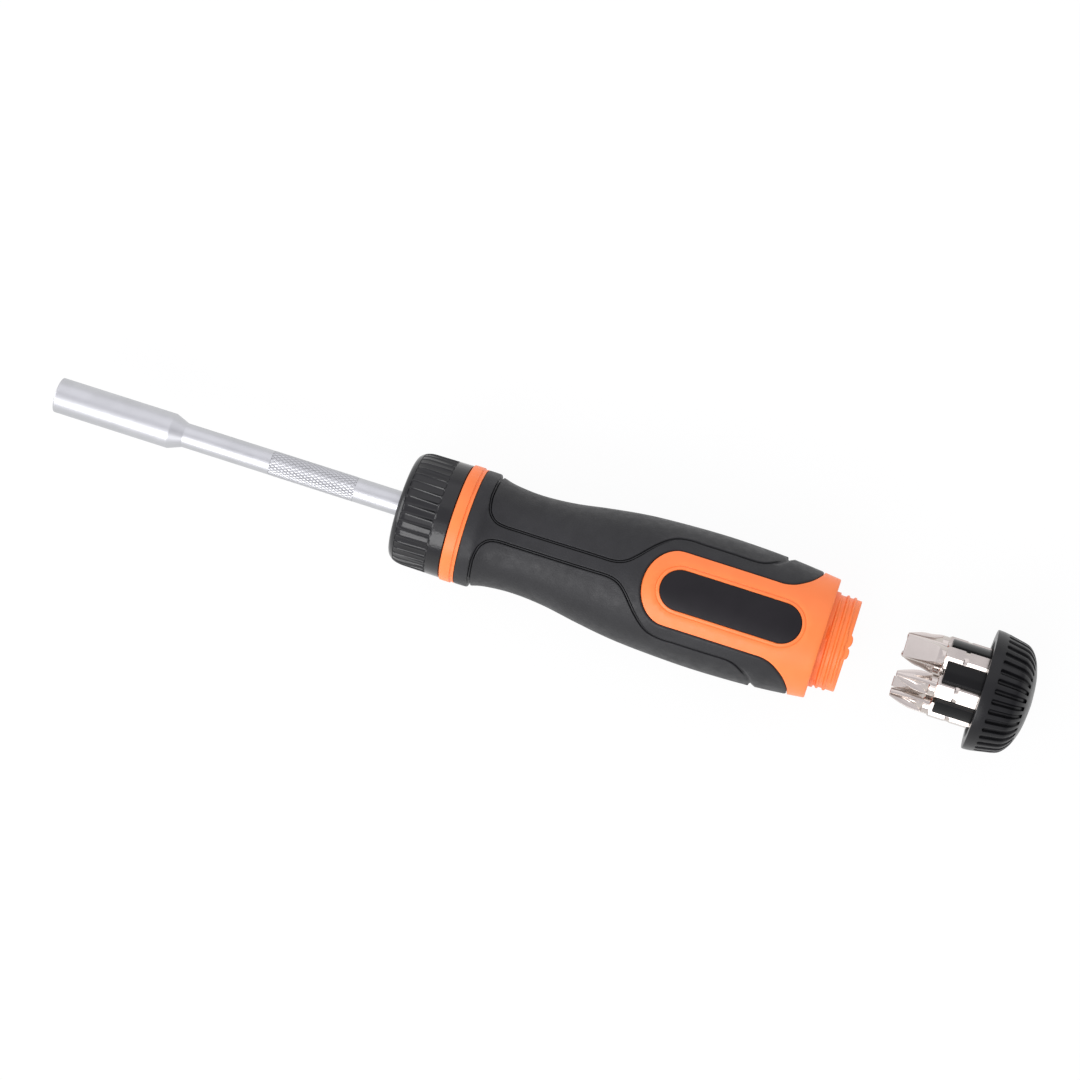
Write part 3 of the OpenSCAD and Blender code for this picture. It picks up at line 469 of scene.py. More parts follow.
def surface_sheet(boundary, rows, spacing, keep):
    """Triangles on a quarter of the surface that follow the boundary and the rows. keep picks them."""
    places, edges = [], []
    for path in [boundary] + [[q for q in row if -on_line < q[1] < 90 + on_line] for row in rows]:
        first = len(places)
        places += [(x, math.radians(a) * sheet_r) for x, a in path]
        edges += [(i, i + 1) for i in range(first, len(places) - 1)]
    fixed = np.array(places)
    low, high = fixed.min(0), fixed.max(0)
    gx = np.arange(low[0] + spacing / 2, high[0], spacing)
    ga = np.arange(low[1] + spacing / 2, high[1], spacing * row_share)
    field = np.array([(x + (k % 2) * spacing / 2, a) for k, a in enumerate(ga) for x in gx])
    near = np.array([np.hypot(*(fixed - q).T).min() for q in field])
    field = field[near > clear_share * spacing]
    places += field.tolist()
    verts, _, faces, *_ = delaunay_2d_cdt([Vector(p) for p in places], edges, [], 0, 1e-5)
    verts = np.array(verts)
    x, angle = verts[:, 0], np.degrees(verts[:, 1] / sheet_r)
    middle = np.array([verts[list(f)].mean(0) for f in faces])
    kept = keep(middle[:, 0], np.degrees(middle[:, 1] / sheet_r))
    faces = [f for f, k in zip(faces, kept) if k]
    used = sorted({i for f in faces for i in f})
    order = {v: i for i, v in enumerate(used)}
    return x[used], angle[used], [tuple(order[i] for i in f) for f in faces]


def border(faces):
    """Edges that only one face has."""
    seen = {}
    for f in faces:
        for a, b in zip(f, f[1:] + f[:1]):
            key = (min(a, b), max(a, b))
            seen[key] = None if key in seen else (a, b)
    return [e for e in seen.values() if e]


def add_shell(shape, x, angle, faces, outer, inner, halves=(1, -1)):
    """A quarter sheet with an inner side and walls at its free edges, mirrored to both sides."""
    count = len(x)
    edges = [(a, b) for a, b in border(faces)
             if max(angle[a], angle[b]) > at_plane and min(angle[a], angle[b]) < 90 - at_plane]
    walls = [(b, a, a + count, b + count) for a, b in edges]
    flipped = [tuple(i + count for i in f[::-1]) for f in faces]
    quarter = on_axis(np.tile(x, 2), np.tile(angle, 2), np.concatenate([outer, inner]))
    for side in (1, -1):
        for half in halves:
            shape.add(quarter * (1, side, half), faces + flipped + walls)


def trace(path, *legs):
    """The path with straight legs added, each given by where it ends and its number of points."""
    for x, a, count in legs:
        x0, a0 = path[-1]
        path = path + list(zip(np.linspace(x0, x, count), np.linspace(a0, a, count)))[1:]
    return path


pad_outline, panel_outline = (space_out(p, surface_xy(p)) for p in (pad_path, panel_path))


# Black soft grip, with its pads outlined by grooves

# Depth over distance: the double line round a pad, and the notch that it becomes at the handle's sides
pad_groove_shape = [(0, 0.3), (0.13, 0.32), (0.22, 0.5), (0.29, 0.68), (0.36, 0.5), (0.43, 0.08),
                    (0.52, 0), (0.64, -0.03), (0.85, 0)]
notch_shape = [(0, 0.8), (0.18, 0.78), (0.31, 0.62), (0.41, 0.3), (0.5, 0.05), (0.64, 0)]
notch_angle, notch_fade = 36, 18
flank_x, flank_len, flank_depth, flank_rise, flank_angle, flank_fade = 206.5, 1.5, 0.78, 2.5, 50, 15
flank_lines, grip_edge_lines = (1.15, flank_len), (0, -0.1, -0.25, -0.5, -0.9)
grip_lip_depth, grip_lip_w = 0.24, 0.36


def grip_depth(x, angle):
    """Depth of the pads' lines and notches, the step behind a pad and the lip at the panel."""
    away = distance_to(pad_outline, x, angle)
    at_side = bump((notch_angle - angle) / notch_fade)
    groove, notch = (np.interp(away, *zip(*form)) for form in (pad_groove_shape, notch_shape))
    depth = (1 - at_side) * groove + at_side * notch
    behind = (x > flank_x) & (x > np.interp(angle, *pad_outline[::-1, ::-1].T))
    flank = flank_depth * (1 - away / flank_len) * bump((x - flank_x) / flank_rise)
    flank = flank * bump((flank_angle - angle) / flank_fade)
    depth = np.where(behind, np.maximum(depth, flank), depth)
    lip = distance_to(panel_outline, x, angle)
    return depth + grip_lip_depth * (1 - bump(lip / grip_lip_w)) * (x > panel_front - 2)


def build_grip():
    rows = [beside(pad_outline, s * d) for d, _ in pad_groove_shape for s in ((1, -1) if d else (1,))]
    rows += [beside(pad_outline[pad_outline[:, 0] > flank_x], d) for d in flank_lines]
    rows += [beside(panel_outline, d) for d in grip_edge_lines]
    rows += [trace([(band_front_x + back, 0)], (band_front_x + back, 90, quarter_columns + 1))
             for back, _ in band_rounding[1:]]
    boundary = trace([(band_front_x, 0)], (band_front_x, 90, quarter_columns + 1), (rear_x, 90, 80),
                     (rear_x, 0, 20), (band_front_x, 0, 80))
    x, angle, faces = surface_sheet(boundary, rows, sheet_step, lambda x, angle: ~in_panel(x, angle))
    inner = np.where(x < grip_x, front_r, outer_r(x)) - grip_wall + fit_gap
    shape = Shape()
    add_shell(shape, x, angle, faces, outer_r(x) - grip_depth(x, angle), inner)
    make_piece("grip", shape, "handle", "soft_grip", "grip_overmould")


build_grip()


# Bright inner handle: front ring, panels and threaded neck

round_columns, neck_steps = 288, 62
bore_r, bore_len = 7.6, 19.0
ring_front = [(0, bore_r), (0, ring_r - 0.5), (0.15, ring_r - 0.45), (0.15, ring_r)]
ring_rear = [(1.1, ring_r), (1.0, band_r - 0.2), (0.75, band_r - 0.16), (0, band_r + 0.06),
             (0, front_r - grip_wall)]
ring_fillet, neck_overlap = 0.16, 0.05
panel_gap, seam_depth, seam_w, seam_lines = 0.16, 0.5, 0.26, (0.06, 0.15, 0.26, 0.5)
panel_sink, neck_sink = 0.3, 0.2
badge_steps = (-0.3, 0.02, 0.08, 0.16, 0.86, 1.0, 1.1, 1.2, 1.34)
badge_depths = (1.0, 1.0, 0.06, 0, 0, 0.09, 0.2, 0.09, 0)
shoulder_steps, shoulder_depths = (0, 0.08, 0.2, 0.4), (0.3, 0.14, 0.05, 0)
ridge_half, ridge_flat, ridge_end_gap, ridge_fade_in, ridge_fade_out = 0.62, 0.16, 1.1, 30, 25
land_rise, land_len, land_from, land_flat, land_slope = 0.62, 1.3, -29, 101, 20
land_skew, land_drop, land_start, land_rear = 0.6, 1.1, 3, 0.2
nub_half, nub_rise, nub_angles, nub_reach = 1.68, 0.75, (85.4, 101.4), 2
neck_edge = [(0.12, neck_r - 0.04), (0.03, neck_r - 0.14), (0, neck_r - 0.28), (0, store_r + 0.15),
             (0.1, store_r + 0.02), (0.3, store_r)]


def neck_rise(x, angle):
    """Height over the neck of the screw ridge, and of two lands that each end in a sloped face."""
    rise = np.zeros_like(x)
    last_turn = (neck_end - ridge_end_gap - rear_x - thread_lead) / thread_pitch * 360
    for turn in range(4):
        along = angle + 360 * turn
        off = np.abs(x - rear_x - thread_lead - thread_pitch * along / 360)
        fade = bump(along / ridge_fade_in) * bump((last_turn - along) / ridge_fade_out)
        rise = np.maximum(rise, thread_h * fade * bump((ridge_half - off) / (ridge_half - ridge_flat)))
    along = (angle - land_from) % 180
    side = np.abs(2 * (x - rear_x) / land_len - 1)
    slope = np.clip((along - land_flat) / land_slope - land_skew * np.minimum(side, 1), 0, 1)
    land = land_rise * (1 - land_drop * slope) * bump(along / land_start) * (along < land_flat + land_slope)
    return np.maximum(rise, land * bump((land_len - x + rear_x) / land_rear))


def neck_rows(angles):
    """Rows of the neck, whose rear edge carries two half-round nubs."""
    end = np.full_like(angles, neck_end)
    for middle in nub_angles:
        side = neck_r * np.radians(angles - middle)
        end = np.maximum(end, neck_end + nub_rise * np.sqrt(np.clip(1 - (side / nub_half) ** 2, 0, None)))
    rows = []
    for x in np.linspace(rear_x - neck_overlap, neck_end - 0.25, neck_steps):
        warp = bump((x - neck_end + nub_reach) / nub_reach)
        flat_x = np.full_like(angles, x)
        place = x + (end - neck_end) * warp
        rows.append(on_axis(place, angles, neck_r + neck_rise(flat_x, angles)))
    return rows + [on_axis(end - ahead, angles, r) for ahead, r in neck_edge]


def core_rows():
    """Rows from the ratchet's bore over the ring, under the grip, along the neck and into the store."""
    angles = round_angles(round_columns)
    band_x = ring_x + ring_len
    front = [(ring_x + back, r) for back, r in ring_front] + [(band_x - ahead, r) for ahead, r in ring_rear]
    tube = [(x, outer_r(x) - grip_wall) for x in np.linspace(grip_x + 0.4, rear_x - neck_overlap, 40)]
    rows = [on_axis(ring_x + bore_len, angles, r) for r in (0, bore_r)]
    rows += [on_axis(x, angles, r) for x, r in list(fillet(front, ring_fillet)) + tube]
    return rows + neck_rows(angles) + [on_axis(store_x, angles, r) for r in (store_r, 0)]


def add_panels(shape):
    """The bright panels, with a seam all round, the badge's recess and a rounded shoulder."""
    outline = beside(panel_outline, panel_gap)
    boundary = trace(outline.tolist(), (rear_x, 0, 6), (rear_x, 90, 60), (outline[0, 0], 90, 60))
    rows = [beside(outline, d) for d in seam_lines] + [badge_row(d) for d in badge_steps]
    rows += [trace([(rear_x - ahead, 0)], (rear_x - ahead, 90, 60)) for ahead in shoulder_steps[1:]]
    x, angle, faces = surface_sheet(boundary, rows, sheet_step, in_panel)
    depth = seam_depth * (1 - bump(distance_to(outline, x, angle) / seam_w)) * (x < rear_x - 2)
    depth += np.interp(badge_distance(x, angle), badge_steps, badge_depths)
    depth += np.interp(rear_x - x, shoulder_steps, shoulder_depths)
    inner = np.where(x > rear_x - 0.01, neck_r - neck_sink, outer_r(x) - grip_wall - panel_sink)
    add_shell(shape, x, angle, faces, outer_r(x) - depth, inner)


core = Shape().grid(core_rows())
add_panels(core)
make_piece("inner_handle", core, "handle", "bright_plastic", "handle_core")


# Badge plates, bare

plate_steps, plate_depths, plate_under = (-0.35, -0.2, -0.1, -0.03), (0, 0.01, 0.05, 0.16), 0.95


def build_badge(name, half, node):
    outline = badge_row(plate_steps[-1])
    rows = [badge_row(d) for d in plate_steps[-2::-1]]
    boundary = trace(outline.tolist(), (outline[0, 0], 90, 50))
    x, angle, faces = surface_sheet(boundary, rows, badge_sheet_step, lambda x, angle: x > 0)
    outer = outer_r(x) - badge_sink - np.interp(badge_distance(x, angle), plate_steps, plate_depths)
    shape = Shape()
    add_shell(shape, x, angle, faces, outer, outer_r(x) - plate_under, (half,))
    make_piece(name, shape, "handle", "badge_plastic", node)


build_badge("badge_upper", 1, "badge_plate_top")
build_badge("badge_lower", -1, "badge_plate_bottom")


# Reversing collar with finger scoops

scoop_count, scoop_columns, scoop_front_depth, scoop_depth = 42, 12, 0.2, 0.55
scoop_start, scoop_end, scoop_round = collar_x + 1.7, collar_end - 4.0, 1.3
scoop_half, scoop_flatness, scoop_fullness = 0.98, 4, 0.6
nose_len, nose_drop, nose_rise, collar_fillet, collar_step = 4.6, 2.96, 2.8, 0.5, 0.22
collar_hole_r = shank_r + 0.3


def collar_profile():
    """The collar's round nose and its side, with points close together and at the scoops' ends."""
    nose = [(collar_x + nose_len * (1 - math.cos(a)), collar_r - nose_drop + nose_rise * math.sin(a))
            for a in np.linspace(0, math.pi / 2, 10)]
    curve = fillet([(collar_x, collar_hole_r)] + nose + [(collar_end, collar_r)], collar_fillet, 4)
    fine = split_long(curve, collar_step, lambda step: step[0])
    shape_x, shape_r = np.array(fine).T
    ends = [scoop_start + a for a in (-0.02, 0.1, 0.2)] + [scoop_end - a for a in (0.08, 0.02)]
    side = [tuple(q) for q in fine if shape_x[0] < q[0]]
    side += [(x, float(np.interp(x, shape_x, shape_r))) for x in ends]
    return [(collar_x, r) for x, r in zip(shape_x, shape_r) if x <= shape_x[0]] + sorted(side)


def build_collar():
    """The collar, whose scoops deepen towards the rear and have round ends."""
    pitch = 360 / scoop_count
    angles = np.arange(scoop_count * scoop_columns) * pitch / scoop_columns
    off = np.abs((angles / pitch + 0.5) % 1 - 0.5) * 2
    rows = []
    for x, r in collar_profile() + [(collar_end, collar_r - 0.3)]:
        tail = np.clip((x - scoop_end + scoop_round) / scoop_round, 0, 1)
        share = np.clip((x - scoop_start) / (scoop_end - scoop_start), 0, 1)
        deep = scoop_front_depth + (scoop_depth - scoop_front_depth) * share
        form = np.clip(1 - (off / scoop_half) ** scoop_flatness - tail ** scoop_flatness, 0, 1)
        hollow = deep * (scoop_start < x < scoop_end) * form ** scoop_fullness
        rows.append(on_axis(min(x, collar_end), angles, r - hollow))
    rows[-2] = on_axis(collar_end - 0.12, angles, collar_r - 0.04)
    web_x = collar_x + collar_web
    inside = [(collar_end, collar_bore_r), (web_x, collar_bore_r), (web_x, collar_hole_r)]
    rows += [on_axis(x, angles, r) for x, r in inside] + rows[:1]
    make_piece("collar", Shape().grid(rows), "selector", "collar_plastic", "selector_collar")


build_collar()


# Steel shaft with its hexagonal socket and knurled band

knurl_round, knurl_period, knurl_steps, knurl_doming = 22, 1.94, 8, 1.8
knurl_fade, knurl_under = 0.4, 0.3
shaft_columns, shaft_fillet, shaft_front_r = 132, 0.55, 4.2
magnet_hole_r, magnet_hole_len = 2.54, 4.95
mouth_len, mouth_chamfer, mouth_r = 0.75, 0.3, 3.75


def hex_r(angle, flats):
    """Distance from the middle to a hexagon's side, with flats across at 0 degrees."""
    return flats / 2 / np.cos(np.radians((angle + 30) % 60 - 30))


def knurl_away(i, j):
    """Distance from the nearest diamond's middle, where 1 is on a groove between diamonds."""
    half = knurl_steps // 2
    away = [abs((i + k + half) % knurl_steps - half) + abs((j + k + half) % knurl_steps - half)
            for k in (0, half)]
    return np.minimum(*away) / half


def shaft_rows():
    """Rows from the magnet's hole through the socket's mouth and along the outside to the rear end."""
    angles = round_angles(shaft_columns)
    socket = hex_r(angles, socket_flats)
    under_r = knurl_root_r - 0.1
    profile = [(0, shaft_front_r), (0, barrel_r), (barrel_len, barrel_r), (barrel_len + taper_len, shank_r),
               (knurl_x, shank_r), (knurl_x + 0.05, under_r), (knurl_end - 0.05, under_r),
               (knurl_end, shank_r), (gear_x, shank_r), (gear_x, journal_r), (shaft_end, journal_r),
               (shaft_end, 0)]
    hole_x = socket_depth + magnet_hole_len
    inside = [(hole_x, 0), (hole_x, magnet_hole_r), (socket_depth, magnet_hole_r), (socket_depth, socket),
              (mouth_len, socket), (mouth_chamfer, np.maximum(socket, mouth_r))]
    return [on_axis(x, angles, r) for x, r in inside + list(fillet(profile, shaft_fillet, 5))]


def add_knurl(shape):
    """A band of domed diamonds with its hidden inner side. Cells are split along the grooves."""
    around = knurl_round * knurl_steps
    along = round(knurl_len / knurl_period) * knurl_steps + 1
    angles = round_angles(around)
    places = knurl_x + np.linspace(0, knurl_len, along)
    away = knurl_away(np.arange(along)[:, None], np.arange(around)[None, :])
    from_end = np.minimum(places - knurl_x, knurl_end - places)
    rise = (1 - away ** knurl_doming) * np.clip((from_end + 0.1) / knurl_fade, 0, 1)[:, None]
    rows = [on_axis(x, angles, knurl_root_r + (knurl_top_r - knurl_root_r) * r) for x, r in zip(places, rise)]
    a, b = away[:-1], np.roll(away, -1, 1)[:-1]
    d, c = away[1:], np.roll(away, -1, 1)[1:]
    one, other = np.abs(a - c), np.abs(b - d)
    first = np.where(np.abs(one - other) < 0.01, a + c > b + d, one < other)
    split = np.where(first, 1, -1).tolist()
    inner = [on_axis(x, angles, knurl_root_r - knurl_under) for x in (places[0], places[-1])]
    flat = [[0] * around]
    shape.grid([inner[0]] + rows + [inner[1], inner[0]], flat + split + flat * 2)


shaft = Shape().grid(shaft_rows())
add_knurl(shaft)
make_piece("driver_shaft", shaft, "spindle", "satin_chrome", "shaft", sharp=24)


# Screw cap with grip slots

cap_len = cap_end - cap_rim_x
cap_curve = smooth([(cap_rim_x + a * cap_len, b * cap_r) for a, b in (
    (0, 1), (0.15, 0.992), (0.374, 0.957), (0.6, 0.915), (0.71, 0.861), (0.816, 0.747), (0.9, 0.58),
    (0.96, 0.36), (1, 0))], 10)
cap_hollow = ((0.86, 0), (0.85, 0.5), (0.762, 0.794), (0.626, 1), (0.03, 1), (0, 1.015))
cap_edge = ((0, 0.32), (0.06, 0.12), (0.3, 0))
cap_slots, slot_depth, slot_half, slot_round, slot_tail = 36, 1.2, 2.6, 0.62, 0.4
slot_least, slot_widen, slot_reach, slot_entry, slot_entry_len = 0.2, 0.8, 1.13, 0.35, 0.25
slot_x0, slot_x1 = cap_rim_x + 0.215 * cap_len, cap_rim_x + 0.85 * cap_len
boss_x, boss_r, boss_cover = cap_rim_x + 4.14, 4.5, 1.5
# Shares of a slot's half width and of its depth there, and places along its ends and the cap's button
slot_across, slot_floor = np.array([0.35, 0.7, 0.9, 1, 1.08]), np.array([0.94, 0.72, 0.44, 0.16, 0.04])
slot_steps = np.array([-0.02, 0.03, 0.1, 0.2, 0.35, 0.55, 0.8, 1])
button_steps = np.array([0.02, 0.08, 0.18, 0.32, 0.5, 0.75, 1.05, 1.4, 1.8, 2.3])
thread_turns, thread_steps, thread_from = 540, 217, 2.2


def slot_row(x, offsets, down):
    """Angles and cuts across one slot. It is narrow and shallow at its round ends."""
    end = min(x - slot_x0, (slot_x1 - x) / slot_tail)
    narrow = math.sqrt(max(0, 1 - (1 - min(1, max(0, end) / slot_round)) ** 2))
    if end < 0:
        narrow = min(1, slot_least - end / slot_widen)
    turn = np.where(np.abs(offsets) <= slot_reach * slot_half, offsets * max(narrow, slot_least), offsets)
    return turn, slot_depth * down * min(1, slot_entry + end / slot_entry_len) if end > 0 else 0 * down


def cap_rows():
    """Rows from the cap's hollow over its rim and along the slotted dome."""
    across = slot_across * slot_half
    offsets = np.concatenate([[-5, -4.1, -3.3], -across[::-1], [0], across, [3.3, 4.1]])
    down = np.concatenate([[0, 0, 0], slot_floor[::-1], [1], slot_floor, [0, 0]])
    centres = np.repeat(round_angles(cap_slots), len(offsets))
    angles = centres + np.tile(offsets, cap_slots)
    rows = [on_axis(cap_rim_x + a * cap_len, angles, b * cap_bore_r) for a, b in cap_hollow]
    rows += [on_axis(cap_rim_x + back, angles, cap_r - drop) for back, drop in cap_edge]
    places = np.round(np.concatenate([
        cap_curve[:, 0], slot_x0 + slot_round * slot_steps, slot_x1 - slot_tail * slot_round * slot_steps,
        cap_end - button_steps]), 4)
    for x in sorted(set(places[places > cap_rim_x + 0.35])):
        turn, cut = slot_row(x, offsets, down)
        r = float(np.interp(x, *cap_curve.T)) - np.tile(cut, cap_slots)
        rows.append(on_axis(x, centres + np.tile(turn, cap_slots), np.maximum(r, 0)))
    return rows


def add_cap_thread(shape):
    """The screw ridge in the cap, in step with the neck's."""
    middle = thread_lead + thread_pitch / 2
    turns = np.linspace(0, thread_turns, thread_steps)
    start = (cap_rim_x + thread_from - rear_x - middle) / thread_pitch * 360
    place = rear_x + middle + thread_pitch * (start + turns) / 360
    root_r, top_r = cap_bore_r + 0.1, cap_bore_r - thread_h
    section = ((-0.5, root_r), (-0.15, top_r), (0.15, top_r), (0.5, root_r))
    shape.grid(np.stack([on_axis(place + a, start + turns, r) for a, r in section], axis=1))
    first = -4 * thread_steps
    shape.add([], [(first + 3, first + 2, first + 1, first), (-4, -3, -2, -1)])


cap, boss_end = Shape().grid(cap_rows()), cap_end - boss_cover
cap.lathe([(boss_x, 0), (boss_x, boss_r), (boss_end, boss_r), (boss_end, 0)], 48)
add_cap_thread(cap)
make_piece("screw_cap", cap, "cap", "cap_plastic", "cap", sharp=45)


# Spare bits in the rack

bit_corner_r, bit_neck_r = bit_flats / 2 / cos_of(30), 2.98
# The hexagonal rear, turned: chamfered ends and a snap notch across the corners
bit_profile = [(11.15, 0), (11.15, 2.9), (11.75, bit_corner_r + 0.01), (16.3, bit_corner_r + 0.01),
               (16.55, bit_corner_r - 0.36), (17.45, bit_corner_r - 0.36), (17.7, bit_corner_r + 0.01),
               (24.5, bit_corner_r + 0.01), (25, bit_corner_r - 0.5), (25, 0)]
blade_heights = (0, 0, 0.08, 0.2, 0.6, 1.2, 2, 3, 4, 5, 6, 6.8, 7.5, 8.2, 8.8, 9.3, 9.8, 10.3, 10.8, 11.5)
wing_heights = (0, 0, 0.12, 0.35, 0.8, 1.4, 2.1, 2.9, 3.6, 4.2, 4.8, 5.5, 6.3, 7.1, 7.8, 8.4, 8.9, 9.3,
                9.6, 10.4, 11.5)
wing_taper = ((0, 0.5, 1, 1.5, 2, 2.5), (0, 0.3, 0.56, 0.8, 0.95, 1))
wing_fade_x, wing_fade, core_len, rib_len, rib_h = 5.5, 4, 9.6, 7.5, 0.42
wing_share, steepest, web_swell, rib_angle, between = 0.7, 0.7, 0.12, 43, 45


def bit_rear():
    angles = round_angles(48)
    fine = split_long(fillet(bit_profile, 0.12, 2), 0.5)
    return [(x, angles, np.minimum(r, hex_r(angles, bit_flats))) for x, r in fine]


def closed_ends(rows):
    """The rows with both ends drawn together to a point."""
    rows[0] = (0, rows[0][1], rows[0][2] * 0)
    x, turn, r = rows[-1]
    return rows + [(x, turn, r * 0)]


def slotted_front(width, thickness, face_angle):
    """A round body that widens into the neck, with two ground faces that part towards its root."""
    rows = []
    for z in blade_heights:
        half_t = float(np.interp(z, (0, 1, 5, 9, 10.6), (thickness / 2, thickness / 2 + 0.2, 1.6, 2.35, 3.2)))
        body = float(np.interp(z, (9, 11.3), (width / 2, bit_neck_r)))
        if z < 0.15:
            half_t, body = half_t - 0.1 + z, body - 0.1 + z
        corner = math.degrees(math.acos(min(1, half_t / body)))
        turn = np.concatenate([np.linspace(-corner, corner, 13)[:-1],
                               np.linspace(corner, 180 - corner, 13)[:-1]])
        turn = np.concatenate([turn, turn + 180])
        face = half_t / np.maximum(np.abs(np.cos(np.radians(turn))), 1e-6)
        rows.append((z, turn + face_angle, np.minimum(face, body)))
    return closed_ends(rows)


def cross_sizes(z, tip_r, point_r, core_r):
    """The wings' reach, the core's radius and the wings' half thickness at a height from the tip."""
    outer = tip_r + (point_r - tip_r) * float(np.interp(z / point_r, *wing_taper))
    outer += (bit_neck_r - outer) * float(bump((z - wing_fade_x) / wing_fade))
    core = core_r + (bit_neck_r - core_r) * (1 - math.sqrt(max(0, 1 - min(1, z / core_len) ** 2)))
    core = min(core, outer - 0.01)
    wing = min(wing_share * core_r, 0.9 * outer)
    return (outer - 0.12 + z, core - 0.1 + z, wing - 0.06) if z < 0.1 else (outer, core, wing)


def cross_fan(outer, core, wing, ribbed):
    """Angles and radii from one wing's middle to the next wing's, with a rib between them if asked."""
    edge = math.degrees(math.asin(min(steepest, wing / outer)))
    root = math.degrees(math.asin(min(steepest, wing / max(core * (1 + web_swell), wing * 1.43))))
    root = min(max(root, edge + 2), 40)
    offsets = [0, 0.5 * edge, 0.93 * edge, edge, edge + 0.3 * (root - edge), edge + 0.65 * (root - edge),
               root, root + 0.5 * (rib_angle - root), rib_angle, between]
    radii = []
    for k, a in enumerate(offsets):
        wall = wing / sin_of(a) if a > 0.1 else outer
        r = min(outer, max(wall, core * (1 + web_swell * (between - a) / between)))
        r = {2: outer - 0.01, 3: outer - 0.06}.get(k, r)
        if ribbed and a >= rib_angle:
            r = min(outer - 0.05, max(r, core + rib_h * (a == between) + 0.1))
        radii.append(r)
    offsets, radii = np.array(offsets), np.array(radii)
    return np.concatenate([offsets, 90 - offsets[-2:0:-1]]), np.concatenate([radii, radii[-2:0:-1]])


def cross_front(tip_r, point_r, core_r, ribbed, turn_angle):
    """Four tapering wings that run out into the round neck, some with fine ribs between them."""
    rows = []
    for z in wing_heights:
        fan, radii = cross_fan(*cross_sizes(z, tip_r, point_r, core_r), ribbed and z < rib_len)
        turn = np.concatenate([fan + 90 * k for k in range(4)])
        rows.append((z, turn + turn_angle, np.tile(radii, 4)))
    return closed_ends(rows)


wing_angle = 30
bit_fronts = {
    "bit_slotted_wide": slotted_front(6.5, 1.5, wing_angle),
    "bit_cross_large": cross_front(0.95, 3.0, 0.75, False, wing_angle - 60),
    "bit_ribbed_cross_large": cross_front(1.2, 3.0, 0.8, True, wing_angle - 120),
    "bit_slotted_narrow": slotted_front(3, 0.7, wing_angle),
    "bit_cross_small": cross_front(0.65, 2.3, 0.55, False, wing_angle - 240),
    "bit_ribbed_cross_small": cross_front(0.8, 2.3, 0.6, True, wing_angle - 300),
}


for index, (node, front) in enumerate(bit_fronts.items()):
    place = first_bit_angle + 60 * index
    middle = on_axis(bit_x, place, bit_ring_r)[0]
    bit = Shape()
    for rows in (front, bit_rear()):
        bit.grid([on_axis(z, turn + place, r) + middle for z, turn, r in rows])
    make_piece(node.replace("bit_", "driver_bit_"), bit, node, "bit_steel", node, sharp=28)


# Rack with a finger between each two bits

pocket_flats, pocket_floor = bit_flats + 0.1, bit_end + fit_gap
finger_step, step_angle, rack_edge, rack_fillet, rack_overlap = 0.5, 16, 0.3, 0.16, 0.02
screw_hole_r, head_hole_r, head_floor, hole_steps = 2.05, 3.54, rack_x + 2.75, 8


def turn_matrix(angle):
    return np.array([[cos_of(angle), sin_of(angle)], [-sin_of(angle), cos_of(angle)]])


def rack_outline():
    """Across the axis: open hexagonal pockets, and fingers with a lowered edge on both sides."""
    corner, flat_r = pocket_flats / 2 / cos_of(30), bit_ring_r - pocket_flats / 2
    low = np.array([bit_ring_r, corner])
    high = np.array([bit_ring_r + pocket_flats / 2, corner / 2])
    shares = np.linspace(0, 1, 60)
    side = low + shares[:, None] * (high - low)
    share = np.interp(rack_r - finger_step, np.hypot(*side.T), shares)
    top = [(rack_r - finger_step, step_angle), (rack_r - 0.08, step_angle + 0.5)]
    top += [(rack_r, a) for a in np.linspace(step_angle + 1.2, 30, 7)]
    half = [(flat_r, 0), (flat_r, corner / 2), low, low + share * (high - low)]
    half = np.array(fillet(half + [(r * cos_of(a), r * sin_of(a)) for r, a in top], rack_fillet))
    period = np.vstack([half[:-1], half[:0:-1] * (1, -1) @ turn_matrix(60)])
    return np.vstack([period @ turn_matrix(first_bit_angle + 60 * k) for k in range(6)])


def build_rack():
    outline = rack_outline()
    period = len(outline) // 6
    ahead = np.roll(outline, -1, 0) - np.roll(outline, 1, 0)
    inward = np.stack([-ahead[:, 1], ahead[:, 0]], axis=1) / np.linalg.norm(ahead, axis=1)[:, None]
    turn = first_bit_angle + np.arange(6 * hole_steps) * 60 / hole_steps
    outer = []
    for a in np.radians(np.linspace(0, 90, 5)):
        flat = outline + inward * rack_edge * (1 - math.sin(a))
        outer.append(np.insert(flat, 0, rack_x + rack_edge * (1 - math.cos(a)), axis=1))
    fingers_end = pocket_floor + rack_overlap
    outer.append(np.insert(outline, 0, fingers_end, axis=1))
    inner = [on_axis(x, turn, r) for x, r in ((rack_x, head_hole_r), (head_floor, head_hole_r),
                                             (head_floor, screw_hole_r), (fingers_end, screw_hole_r))]
    shape = Shape().grid(outer).grid(inner)
    for hole, edge in ((inner[0], outer[0]), (inner[-1], outer[-1])):
        faces = [[(k * hole_steps + i) % len(hole) for i in range(hole_steps + 1)]
                 + [len(hole) + (k * period + i) % len(edge) for i in range(period, -1, -1)]
                 for k in range(6)]
        shape.add(np.vstack([hole, edge]), faces)
    shape.lathe([(pocket_floor, screw_hole_r), (pocket_floor, rack_r), (rack_end, rack_r),
                 (rack_end, screw_hole_r), (pocket_floor, screw_hole_r)], 72)
    make_piece("bit_holder", shape, "rack", "rack_plastic", "bit_rack")


build_rack()


# Pieces carried over from the CAD part

def dress(look, *nodes):
    for name in nodes:
        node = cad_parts[name]
        if not node.material_slots:
            node.data.materials.append(looks[look])
        for place in node.material_slots:
            place.material = looks[look]


